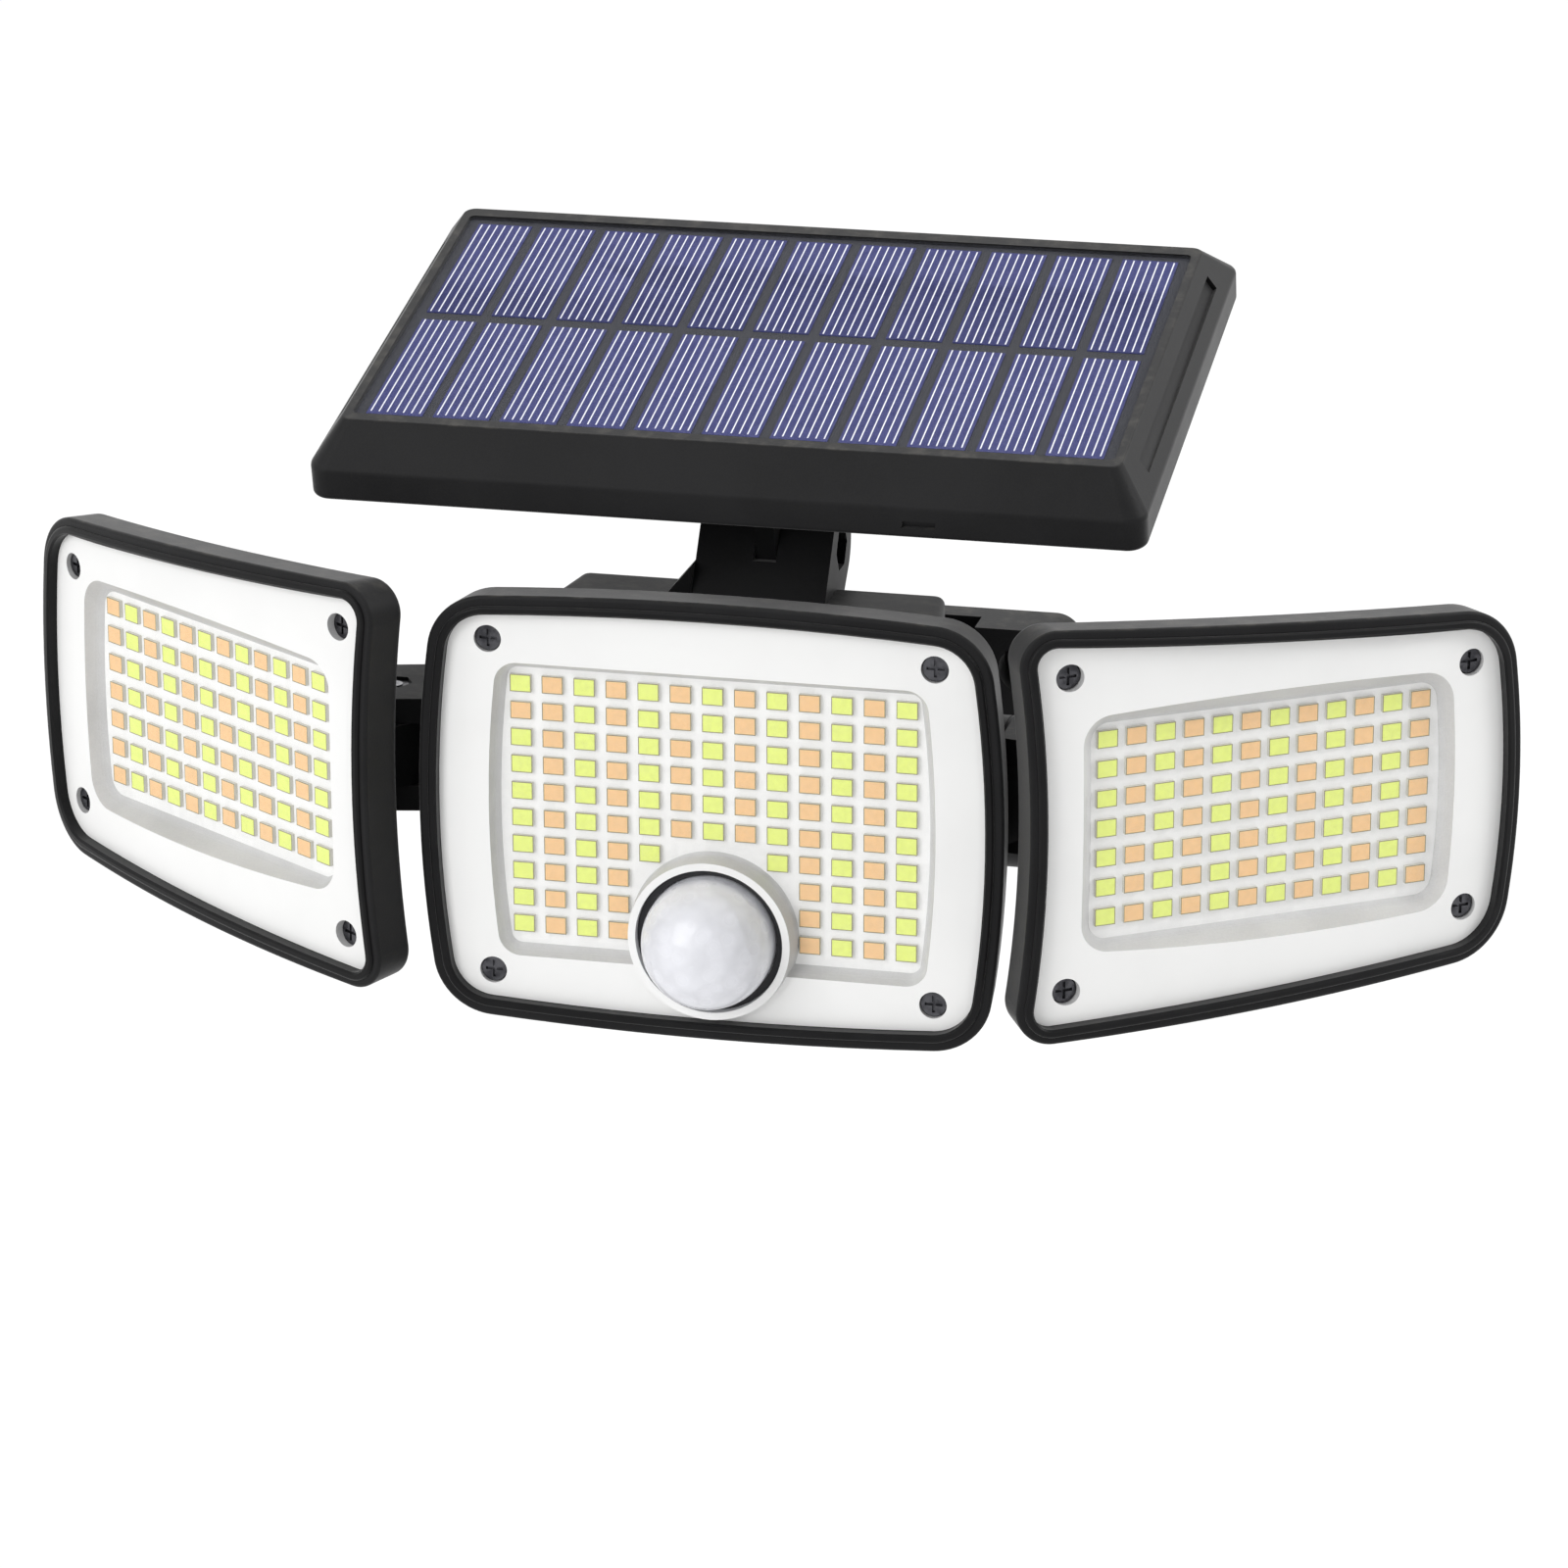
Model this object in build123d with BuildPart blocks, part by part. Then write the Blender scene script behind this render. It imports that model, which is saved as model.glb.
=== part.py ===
from build123d import *
import os
from math import cos, radians, sin, sqrt

os.makedirs("parts", exist_ok=True)

# Solar security light with a motion sensor: a centre head, two side heads on jointed arms,
# a tilting solar panel, a battery housing and a wall bracket. Millimetres, X to the right,
# Z up, the front faces -Y. The origin is the middle of the bracket's back face, on the wall.

# Datum of the centre head: its lamp chips lie in this plane, centred at this height
FRONT = -112.0
AXIS_Z = 17.1

# Centre head
FACE_H = 2.0
LIP_H = 4.1
RING_H = 3.5
SEAT_H = 0.4
CASE_BACK = -6.0
CASE_FLOOR = -4.4
LIP_OUT = 1.55
POCKET_OUT = 1.6
CASE_OUT = 3.35
CASE_FOOT = 2.2
CHIP_W = 3.7
CHIP_H = 3.1
CHIP_T = 0.7
BOARD_T = 1.0
CENTRE_PITCH_X = 5.6
CENTRE_PITCH_Z = 4.833
CENTRE_SCREWS = [(38.7, 30.0), (-38.7, 30.0), (38.7, -30.0), (-38.7, -30.0)]
SCREW_HOLE_R = 2.4

# Motion sensor, below the middle of the centre head
SENSOR_Z = -21.0
COLLAR_H = 4.0
COLLAR_R = 14.2
COLLAR_FOOT_R = 14.8
COLLAR_BORE_R = 12.9
DOME_R = 11.4
DOME_H = 4.5

# Side heads, turned outwards, with a face bowed to the front
HEAD_X = 92.3
HEAD_Y = FRONT + 12.6
HEAD_Z = AXIS_Z + 4.83
HEAD_YAW = 34.0
BOW_APEX = 4.15
BOW_MID = 4.0
BOW_R2 = 600.0
SIDE_PITCH = 5.243
SIDE_SCREWS = [(-36.4, 27.7), (-36.4, -27.7), (37.0, 22.0), (37.0, -22.0)]
SIDE_BACK = -6.6
SIDE_FLOOR = -5.3
SIDE_SEAT = -1.6
PAD_BACK = -5.6

# Hinges of a side arm: pitch about X, yaw about Z
PITCH_Y = FRONT + 25.0
PITCH_Z = AXIS_Z
PITCH_R = 13.0
YAW_X = 62.0
YAW_Y = FRONT + 20.0
YAW_R = 9.5
TONGUE_LOW = AXIS_Z - 2.4
TONGUE_HIGH = AXIS_Z + 8.9

# Battery housing
BOX_FRONT = FRONT + 6.0
BOX_BACK = FRONT + 37.6
BOX_HALF = 37.5
BOX_TOP = AXIS_Z + 30.5
BOX_BOTTOM = AXIS_Z - 30.0
BOX_WALL = 2.5
BOSS_X = 46.0
SHOULDER_Z = AXIS_Z + 25.0
CAP_FRONT = 37.3
CAP_BACK = 32.3

# Solar panel and its hinge
PANEL_Y = FRONT + 49.635
PANEL_Z = AXIS_Z + 71.237
PANEL_TILT = 12.02
TILT_Y = FRONT + 40.0
TILT_Z = AXIS_Z + 37.0
TILT_R = 7.5
EAR_LEFT = -10.3
EAR_RIGHT = 13.4
SLIT_LEFT = -0.2
SLIT_RIGHT = 3.9
RIDGE_H = -6.2
REAR_S = 50.5
CELL_PITCH = 11.79
CELL_W = 9.9
CELL_ROWS = [(1.7, 37.0), (-36.9, -1.2)]

# Wall bracket
BRACKET_HALF_X = 43.0
BRACKET_HALF_Z = 21.5
BRACKET_T = 5.5
RAIL_FRONT = -12.0
RAIL_W = 18.0
WALL_HOLES = [(x, z) for x in (-34.0, 34.0) for z in (-14.0, 14.0)]
LOCK_Y = (RAIL_FRONT - BRACKET_T) / 2

CENTRE = Plane(origin=(0, FRONT, AXIS_Z), x_dir=(1, 0, 0), z_dir=(0, -1, 0))
YAW = radians(HEAD_YAW)
HEAD = Plane(origin=(HEAD_X, HEAD_Y, HEAD_Z), x_dir=(cos(YAW), sin(YAW), 0), z_dir=(sin(YAW), -cos(YAW), 0))
HEAD_EDGE = Plane(origin=HEAD.origin, x_dir=HEAD.x_dir, z_dir=(0, 0, -1))
HEAD_OUT = Axis((0, 0, 0), tuple(HEAD.z_dir))
TILT = radians(PANEL_TILT)
PANEL = Plane(origin=(0, PANEL_Y, PANEL_Z), x_dir=(1, 0, 0), z_dir=(0, -sin(TILT), cos(TILT)))
PANEL_UP = Axis((0, 0, 0), tuple(PANEL.z_dir))
SIDE = Plane(origin=(0, 0, 0), x_dir=(0, 1, 0), z_dir=(1, 0, 0))


def disc(radius, x=0.0, y=0.0):
    """Round profile."""
    with BuildSketch() as profile:
        with Locations((x, y)):
            Circle(radius)
    return profile.sketch


def hexagon(flats, x=0.0, y=0.0):
    """Hexagonal profile, by its width across flats."""
    with BuildSketch() as profile:
        with Locations((x, y)):
            RegularPolygon(flats / 2, 6, major_radius=False)
    return profile.sketch


def block(x0, x1, y0, y1, radius=0.0):
    """Rectangular profile between two corners, with round corners if asked."""
    with BuildSketch() as profile:
        with Locations(((x0 + x1) / 2, (y0 + y1) / 2)):
            Rectangle(x1 - x0, y1 - y0)
        if radius:
            fillet(profile.vertices(), radius)
    return profile.sketch


def prism(plane, outline, low, high):
    """Straight prism over an outline, between two heights over a plane."""
    with BuildPart() as body:
        with BuildSketch(plane.offset(low)):
            add(outline)
        extrude(amount=high - low)
    return body.part


def centre_outline(grow=0.0):
    """Edge of the centre head's white face, or one a step outside it: four gently bowed sides."""
    x = 45.0
    for _ in range(20):
        z = 35.9 - 613.8 + sqrt((613.8 + grow) ** 2 - x**2)
        x = 47.75 - 203.1 + sqrt((203.1 + grow) ** 2 - z**2)
    with BuildSketch() as profile:
        with BuildLine():
            ThreePointArc((-x, z), (0, 35.9 + grow), (x, z))
            ThreePointArc((x, z), (47.75 + grow, 0), (x, -z))
            ThreePointArc((x, -z), (0, -35.9 - grow), (-x, -z))
            ThreePointArc((-x, -z), (-47.75 - grow, 0), (-x, z))
        make_face()
        fillet(profile.vertices(), 7.5 + grow)
    return profile.sketch


def side_outline(grow=0.0):
    """Edge of a side head's white face, or one a step outside it: narrower at its outer end."""
    top = 30.9 + 1.00225 * grow
    inner = -43.1
    outer = 40.7
    for _ in range(20):
        inner = -40.4 - 212.8 + sqrt((212.8 - grow) ** 2 - (top - 0.06706 * inner) ** 2)
        outer = 44.15 - 143.1 + sqrt((143.1 + grow) ** 2 - (top - 0.06706 * outer) ** 2)
    tall = top - 0.06706 * inner
    short = top - 0.06706 * outer
    with BuildSketch() as profile:
        with BuildLine():
            Line((inner, tall), (outer, short))
            ThreePointArc((outer, short), (44.15 + grow, 0), (outer, -short))
            Line((outer, -short), (inner, -tall))
            ThreePointArc((inner, -tall), (-40.4 - grow, 0), (inner, tall))
        make_face()
        fillet(profile.vertices().group_by(Axis.X)[0], 3.3 + grow)
        fillet(profile.vertices().group_by(Axis.X)[-1], 8.5 + grow)
    return profile.sketch


def centre_recess(grow=0.0):
    """Mouth of the centre head's lamp recess, at the level of the face."""
    with BuildSketch() as profile:
        x = 37.3 + grow
        top = 26.0 + grow
        bottom = -27.0 - grow
        with BuildLine():
            Line((-x, top), (x, top))
            ThreePointArc((x, top), (x + 1.7, 0), (x, bottom))
            Line((x, bottom), (-x, bottom))
            ThreePointArc((-x, bottom), (-x - 1.7, 0), (-x, top))
        make_face()
        fillet(profile.vertices(), 4.0 + 1.4 * grow)
    return profile.sketch


def side_recess(rise, grow=0.0):
    """Side head's lamp recess, from its floor (rise 0) to its widest section, over the face (rise 1)."""
    with BuildSketch() as profile:
        inner = -31.7 - 6.4 * rise - grow
        outer = 31.8 + 2.9 * rise + grow
        top = 18.4 + 5.2 * rise + grow
        bottom = -19.8 - 2.9 * rise - grow
        with BuildLine():
            Line((inner, top), (outer, top))
            ThreePointArc((outer, top), (outer + 1.2, 0), (outer, bottom))
            Line((outer, bottom), (inner, bottom))
            ThreePointArc((inner, bottom), (inner + 0.3, 0), (inner, top))
        make_face()
        fillet(profile.vertices(), 3.2 + 4.5 * rise + grow)
    return profile.sketch


def funnel(plane, floor, mouth):
    """Tapered recess from the lamp board up past the face."""
    with BuildPart() as cut:
        with BuildSketch(plane.offset(-CHIP_T)):
            add(floor)
        with BuildSketch(plane.offset(6.0)):
            add(mouth)
        loft(ruled=True)
    return cut.part


def bow(u, depth):
    """Point of the side head's bowed face, or of a surface a given depth over it."""
    return (u, BOW_APEX + depth - (u - BOW_MID) ** 2 / BOW_R2)


def bowed(outline, low, high, foot=None):
    """Slab between two bowed faces of the side heads, over an outline, drafted if it has a foot outline."""
    with BuildPart() as slab:
        with BuildSketch(HEAD.offset(-20)):
            add(foot or outline)
        if foot:
            with BuildSketch(HEAD.offset(20)):
                add(outline)
            loft(ruled=True)
        else:
            extrude(amount=40)
        with BuildSketch(HEAD_EDGE):
            with BuildLine():
                ThreePointArc(bow(-60, low), bow(BOW_MID, low), bow(68, low))
                Line(bow(68, low), bow(68, high))
                ThreePointArc(bow(68, high), bow(BOW_MID, high), bow(-60, high))
                Line(bow(-60, high), bow(-60, low))
            make_face()
        extrude(amount=60, both=True, mode=Mode.INTERSECT)
    return slab.part


def pan_screw(plane, x, y, seat, head_r, head_t, shank_r, length):
    """Screw with a round head on its seat and a cross recess, driven along the plane's normal."""
    with BuildPart() as screw:
        add(prism(plane, disc(head_r, x, y), seat, seat + head_t))
        add(prism(plane, disc(shank_r, x, y), seat - length, seat))
        for wide, tall in ((1.4 * head_r, 0.25 * head_r), (0.25 * head_r, 1.4 * head_r)):
            cross = block(x - wide / 2, x + wide / 2, y - tall / 2, y + tall / 2)
            add(prism(plane, cross, seat + 0.45 * head_t, seat + head_t), mode=Mode.SUBTRACT)
    return screw.part


def chip_group(plane, spots):
    """Lamp chips standing on the board, their faces in the plane."""
    with BuildPart() as group:
        with BuildSketch(plane.offset(-CHIP_T)):
            with Locations(*spots):
                Rectangle(CHIP_W, CHIP_H)
        extrude(amount=CHIP_T)
    return group.part


# ---------------------------------------------------------------- wall bracket
with BuildPart() as wall_plate:
    back = Plane(origin=(0, 0, 0), x_dir=(1, 0, 0), z_dir=(0, -1, 0))
    plate = block(-BRACKET_HALF_X, BRACKET_HALF_X, -BRACKET_HALF_Z, BRACKET_HALF_Z, 5)
    add(prism(back, plate, 0, -RAIL_FRONT))
    slot = block(RAIL_W - BRACKET_HALF_X, BRACKET_HALF_X - RAIL_W, 5 - BRACKET_HALF_Z, BRACKET_HALF_Z + 1)
    add(prism(back, slot, BRACKET_T, 1 - RAIL_FRONT), mode=Mode.SUBTRACT)
    for x, z in WALL_HOLES:
        add(prism(back, disc(2.25, x, z), -1, 1 - RAIL_FRONT), mode=Mode.SUBTRACT)
        add(prism(back, disc(4.5, x, z), 6.0, 1 - RAIL_FRONT), mode=Mode.SUBTRACT)
    add(prism(Plane.XY, disc(1.6, 0, LOCK_Y), -BRACKET_HALF_Z - 1, 6 - BRACKET_HALF_Z), mode=Mode.SUBTRACT)

with BuildPart() as mount_arm:
    add(prism(back, block(-24.5, 24.5, 5.05 - BRACKET_HALF_Z, AXIS_Z + 2.0, 2), BRACKET_T, -RAIL_FRONT))
    add(prism(back, block(-18, 18, AXIS_Z - 18, AXIS_Z + 2.0, 3), -RAIL_FRONT, -BOX_BACK - 4))
    add(prism(back, block(-24, 24, AXIS_Z - 24, AXIS_Z + 8.0, 4), -BOX_BACK - 4, -BOX_BACK))
    for x in (-12.5, 1.5):
        pocket = block(x, x + 11, -60, -RAIL_FRONT - 26, 2)
        add(prism(Plane.XY, pocket, AXIS_Z - 19, AXIS_Z - 1.5), mode=Mode.SUBTRACT)
    for x in (-20.5, 20.5):
        for z in (AXIS_Z - 20.5, AXIS_Z + 4.5):
            add(prism(back, disc(1.6, x, z), -BOX_BACK - 5, -BOX_BACK + 1), mode=Mode.SUBTRACT)
    add(prism(Plane.XY, disc(1.55, 0, LOCK_Y), 4 - BRACKET_HALF_Z, 18 - BRACKET_HALF_Z), mode=Mode.SUBTRACT)

under = Plane(origin=(0, LOCK_Y, -BRACKET_HALF_Z), x_dir=(1, 0, 0), z_dir=(0, 0, -1))
with BuildPart() as lock_screw:
    add(pan_screw(under, 0, 0, 0, 3.0, 2.2, 1.5, 17))

behind = Plane(origin=(0, BOX_BACK + 4, 0), x_dir=(-1, 0, 0), z_dir=(0, 1, 0))
with BuildPart() as mount_screws:
    for x in (-20.5, 20.5):
        for z in (AXIS_Z - 20.5, AXIS_Z + 4.5):
            add(pan_screw(behind, x, z, 0, 2.8, 1.8, 1.5, 9))

# ------------------------------------------------------------- battery housing
# raised top of the housing, narrower towards the back
with BuildPart() as housing_cap:
    with BuildSketch(Plane.XY.offset(SHOULDER_Z - 1.0)):
        with BuildLine():
            Polyline((0, BOX_FRONT), (CAP_FRONT, BOX_FRONT), (CAP_BACK, BOX_BACK), (0, BOX_BACK))
            mirror(about=Plane.YZ)
        make_face()
    extrude(amount=BOX_TOP - SHOULDER_Z + 1.0)
    fillet(housing_cap.edges().filter_by(Axis.Z).group_by(Axis.Y)[-1], 2.0)
    rim = housing_cap.faces().sort_by(Axis.Z)[-1].edges().sort_by(Axis.Y)[1:]
    fillet(rim, 1.5)

with BuildPart() as battery_housing:
    front = Plane(origin=(0, BOX_FRONT, 0), x_dir=(1, 0, 0), z_dir=(0, -1, 0))
    depth = BOX_BACK - BOX_FRONT
    add(prism(front, block(-BOX_HALF, BOX_HALF, BOX_BOTTOM, SHOULDER_Z), -depth, 0))
    fillet(battery_housing.edges().filter_by(Axis.Y).group_by(Axis.Z)[0], 4.0)
    fillet(battery_housing.edges().filter_by(Axis.Y).group_by(Axis.Z)[-1], 1.0)
    fillet(battery_housing.faces().sort_by(Axis.Y)[-1].edges(), 0.9)
    add(housing_cap.part)
    for side in (-1, 1):
        with BuildSketch(SIDE.offset(side * (BOX_HALF - 0.5))):
            with Locations((PITCH_Y, PITCH_Z)):
                Circle(PITCH_R)
        extrude(amount=side * (BOSS_X - BOX_HALF + 0.5))
    for half, low, high in ((BOX_HALF, BOX_BOTTOM, SHOULDER_Z), (CAP_BACK, AXIS_Z, BOX_TOP)):
        inner = block(BOX_WALL - half, half - BOX_WALL, low + BOX_WALL, high - BOX_WALL, 2)
        add(prism(front, inner, BOX_WALL - depth, 1), mode=Mode.SUBTRACT)
    # ears of the panel hinge stand on the top and lean out over the back, with a low web between them
    with BuildSketch(SIDE.offset(EAR_LEFT)):
        with Locations((TILT_Y, TILT_Z)):
            Circle(TILT_R)
        with Locations((BOX_BACK - 6.5, BOX_TOP - 1.5)):
            Rectangle(10.0, 2.0)
        with Locations((BOX_BACK - 1.2, BOX_TOP - 6.0)):
            Rectangle(2.0, 2.0)
        make_hull()
    extrude(amount=EAR_RIGHT - EAR_LEFT)
    add(prism(SIDE, disc(TILT_R + 0.6, TILT_Y, TILT_Z), SLIT_LEFT, SLIT_RIGHT), mode=Mode.SUBTRACT)
    slit = block(TILT_Y - 20, TILT_Y + 20, TILT_Z - 0.5, TILT_Z + 20)
    add(prism(SIDE, slit, SLIT_LEFT, SLIT_RIGHT), mode=Mode.SUBTRACT)
    with BuildSketch(Plane.XZ.offset(-(BOX_BACK - 11.0))):
        with BuildLine():
            foot = (EAR_LEFT - 5.0, BOX_TOP - 0.5)
            Polyline((EAR_LEFT, BOX_TOP + 5.5), (EAR_LEFT, BOX_TOP - 0.5), foot, close=True)
        make_face()
    extrude(amount=-10.3)
    for x in (-20.5, 20.5):
        for z in (AXIS_Z - 20.5, AXIS_Z + 4.5):
            add(prism(front, disc(3.2, x, z), -depth, -depth + 6.2))
            add(prism(front, disc(1.55, x, z), -depth - 1, -depth + 5.5), mode=Mode.SUBTRACT)
    add(prism(SIDE, disc(2.05, TILT_Y, TILT_Z), -20, 20), mode=Mode.SUBTRACT)
    add(prism(SIDE, disc(3.9, TILT_Y, TILT_Z), -20, EAR_LEFT + 2.6), mode=Mode.SUBTRACT)
    add(prism(SIDE, hexagon(7.2, TILT_Y, TILT_Z), EAR_RIGHT - 4.6, 20), mode=Mode.SUBTRACT)
    add(prism(SIDE, disc(2.55, PITCH_Y, PITCH_Z), -50, 50), mode=Mode.SUBTRACT)
    add(prism(Plane.XY, disc(4.1, 20, FRONT + 22), BOX_BOTTOM - 1, BOX_BOTTOM + 4), mode=Mode.SUBTRACT)

cell_y = FRONT + 22.3
with BuildPart() as battery_upper:
    add(prism(SIDE, disc(9.2, cell_y, AXIS_Z + 11.2), -32.3, 31.2))
    add(prism(SIDE, disc(4.2, cell_y, AXIS_Z + 11.2), 31.2, 32.3))

with BuildPart() as battery_lower:
    add(prism(SIDE, disc(9.2, cell_y, AXIS_Z - 11.2), -31.2, 32.3))
    add(prism(SIDE, disc(4.2, cell_y, AXIS_Z - 11.2), -32.3, -31.2))

with BuildPart() as battery_cradle:
    rear = BOX_BACK - BOX_WALL
    add(prism(SIDE, block(rear - 1.5, rear, AXIS_Z - 18, AXIS_Z + 18), -16, 16))
    for x in (-14, 11):
        add(prism(SIDE, block(rear - 12.0, rear, AXIS_Z - 18, AXIS_Z + 18), x, x + 3))
    for z in (AXIS_Z - 11.2, AXIS_Z + 11.2):
        add(prism(SIDE, disc(9.3, cell_y, z), -40, 40), mode=Mode.SUBTRACT)

with BuildPart() as control_board:
    add(prism(front, block(-28, 28, AXIS_Z - 22, AXIS_Z + 22, 1), -4.6, -3.0))
    add(prism(front, block(-16, 4, AXIS_Z - 6, AXIS_Z + 8, 0.5), -3.0, -1.4))
    add(prism(front, block(10, 22, AXIS_Z + 2, AXIS_Z + 10, 0.5), -3.0, -1.0))

with BuildPart() as button_switch:
    body = block(16.9, 23.1, FRONT + 18.9, FRONT + 25.1, 0.5)
    add(prism(Plane.XY, body, BOX_BOTTOM + 6.6, BOX_BOTTOM + 8.6))
    add(prism(Plane.XY, disc(1.7, 20, FRONT + 22), BOX_BOTTOM + 5.6, BOX_BOTTOM + 6.6))

with BuildPart() as power_button:
    add(prism(Plane.XY, disc(4.0, 20, FRONT + 22), BOX_BOTTOM - 1.6, BOX_BOTTOM + BOX_WALL + 0.3))
    fillet(power_button.edges().sort_by(Axis.Z)[0], 0.6)
    add(prism(Plane.XY, disc(4.9, 20, FRONT + 22), BOX_BOTTOM + BOX_WALL + 0.2, BOX_BOTTOM + BOX_WALL + 1.2))

# ----------------------------------------------------------------- centre head
posts = CENTRE_SCREWS
with BuildPart() as centre_casing:
    with BuildSketch(CENTRE.offset(CASE_BACK)):
        add(centre_outline(CASE_FOOT))
    with BuildSketch(CENTRE.offset(RING_H)):
        add(centre_outline(CASE_OUT))
    loft(ruled=True)
    fillet(centre_casing.faces().sort_by(Axis.Y)[0].edges(), 0.6)
    fillet(centre_casing.faces().sort_by(Axis.Y)[-1].edges(), 1.2)
    add(prism(CENTRE, centre_outline(POCKET_OUT), SEAT_H, RING_H + 1), mode=Mode.SUBTRACT)
    add(prism(CENTRE, centre_outline(-3.0), CASE_FLOOR, RING_H + 1), mode=Mode.SUBTRACT)
    for x, z in posts:
        add(prism(CENTRE, disc(3.0, x, z), CASE_FLOOR, SEAT_H))
        add(prism(CENTRE, disc(1.25, x, z), SEAT_H - 4.2, SEAT_H + 1), mode=Mode.SUBTRACT)
    add(prism(CENTRE, disc(COLLAR_FOOT_R + 0.1, 0, SENSOR_Z), -CHIP_T - 0.05, RING_H), mode=Mode.SUBTRACT)
    add(prism(CENTRE, disc(13.0, 0, SENSOR_Z), CASE_FLOOR, RING_H), mode=Mode.SUBTRACT)
    add(prism(CENTRE, disc(4.0, -20, 8), CASE_BACK - 1, CASE_FLOOR + 1), mode=Mode.SUBTRACT)

with BuildPart() as centre_gasket:
    add(prism(CENTRE, centre_outline(LIP_OUT), SEAT_H, LIP_H))
    fillet(centre_gasket.faces().sort_by(Axis.Y)[0].edges(), 0.45)
    add(prism(CENTRE, centre_outline(0.08), SEAT_H - 1, LIP_H + 1), mode=Mode.SUBTRACT)
    chamfer(centre_gasket.faces().sort_by(Axis.Y)[0].inner_wires()[0].edges(), 0.35)

with BuildPart() as collar_cone:
    with BuildSketch(CENTRE.offset(-CHIP_T)):
        with Locations((0, SENSOR_Z)):
            Circle(COLLAR_FOOT_R)
    with BuildSketch(CENTRE.offset(COLLAR_H)):
        with Locations((0, SENSOR_Z)):
            Circle(COLLAR_R)
    loft()
    add(prism(CENTRE, centre_outline(), -CHIP_T, COLLAR_H), mode=Mode.INTERSECT)

with BuildPart() as centre_funnel:
    add(funnel(CENTRE, centre_recess(-1.5), centre_recess(2.22)))
    add(collar_cone.part, mode=Mode.SUBTRACT)

with BuildPart() as centre_faceplate:
    add(prism(CENTRE, centre_outline(), SEAT_H, FACE_H))
    add(prism(CENTRE, centre_recess(1.3), -CHIP_T, FACE_H))
    add(collar_cone.part)
    add(centre_funnel.part, mode=Mode.SUBTRACT)
    add(prism(CENTRE, disc(COLLAR_BORE_R, 0, SENSOR_Z), -5, 5), mode=Mode.SUBTRACT)
    for x, z in posts:
        add(prism(CENTRE, disc(SCREW_HOLE_R, x, z), -5, 5), mode=Mode.SUBTRACT)

with BuildPart() as centre_screws:
    for x, z in posts:
        add(pan_screw(CENTRE, x, z, SEAT_H, 2.2, 1.0, 1.2, 4.0))

with BuildPart() as centre_led_board:
    add(prism(CENTRE, block(-38.2, 38.2, -28.0, 27.5, 1), -CHIP_T - BOARD_T, -CHIP_T))
    add(prism(CENTRE, disc(COLLAR_BORE_R, 0, SENSOR_Z), -5, 5), mode=Mode.SUBTRACT)
    for x, z in posts:
        add(prism(CENTRE, disc(3.4, x, z), -5, 5), mode=Mode.SUBTRACT)

# the middle columns stop above the sensor; the first column has one warm chip
centre_rows = [10, 10, 10, 10, 7, 6, 6, 6, 7, 10, 10, 10, 10]
cool_spots = []
warm_spots = []
for column, rows in enumerate(centre_rows):
    for row in range(rows):
        spot = ((column - 6) * CENTRE_PITCH_X, (4.5 - row) * CENTRE_PITCH_Z)
        if column % 2 or (column, row) == (0, 1):
            warm_spots.append(spot)
        else:
            cool_spots.append(spot)

with BuildPart() as centre_cool_leds:
    add(chip_group(CENTRE, cool_spots))

with BuildPart() as centre_warm_leds:
    add(chip_group(CENTRE, warm_spots))

with BuildPart() as centre_window:
    add(centre_funnel.part)
    add(prism(CENTRE, block(-60, 60, -60, 60), 0.5, 1.1), mode=Mode.INTERSECT)

# ---------------------------------------------------------------- motion sensor
SENSOR = Plane(origin=(0, FRONT, AXIS_Z + SENSOR_Z), x_dir=(1, 0, 0), z_dir=(0, -1, 0))
DOME = Plane(origin=(0, FRONT, AXIS_Z + SENSOR_Z), x_dir=(1, 0, 0), z_dir=(0, 0, 1))
with BuildPart() as sensor_lens:
    with BuildSketch(DOME):
        with BuildLine():
            Line((0, -DOME_H - DOME_R), (0, 1 - DOME_H - DOME_R))
            CenterArc((0, -DOME_H), DOME_R - 1, -90, 90)
            Line((DOME_R - 1, -DOME_H), (DOME_R - 1, 0.7))
            Line((DOME_R - 1, 0.7), (12.2, 0.7))
            Line((12.2, 0.7), (12.2, -0.6))
            Line((12.2, -0.6), (DOME_R, -0.6))
            Line((DOME_R, -0.6), (DOME_R, -DOME_H))
            CenterArc((0, -DOME_H), DOME_R, 0, -90)
        make_face()
    revolve(axis=Axis((0, 0, AXIS_Z + SENSOR_Z), (0, 1, 0)))

# a dark holder clamps the lens flange and lines the collar
with BuildPart() as sensor_holder:
    add(prism(SENSOR, disc(12.85), CASE_FLOOR, 2.4))
    add(prism(SENSOR, disc(8.9), CASE_FLOOR - 1, 1), mode=Mode.SUBTRACT)
    add(prism(SENSOR, disc(12.3), -0.7, 0.75), mode=Mode.SUBTRACT)
    add(prism(SENSOR, disc(11.6), 0.7, 3), mode=Mode.SUBTRACT)

with BuildPart() as sensor_board:
    add(prism(SENSOR, disc(8.6), CASE_FLOOR, -3.4))

with BuildPart() as motion_sensor:
    add(prism(SENSOR, disc(4.6), -3.4, -2.9))
    add(prism(SENSOR, disc(4.1), -2.9, 1.3))
    add(prism(SENSOR, block(-1.5, 1.5, -2.0, 2.0, 0.3), 1.0, 1.6), mode=Mode.SUBTRACT)

# ------------------------------------------------------------------ side heads
hinge_u = (YAW_X - HEAD_X) * cos(YAW) + (YAW_Y - HEAD_Y) * sin(YAW)
hinge_h = (YAW_X - HEAD_X) * sin(YAW) - (YAW_Y - HEAD_Y) * cos(YAW)

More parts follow.
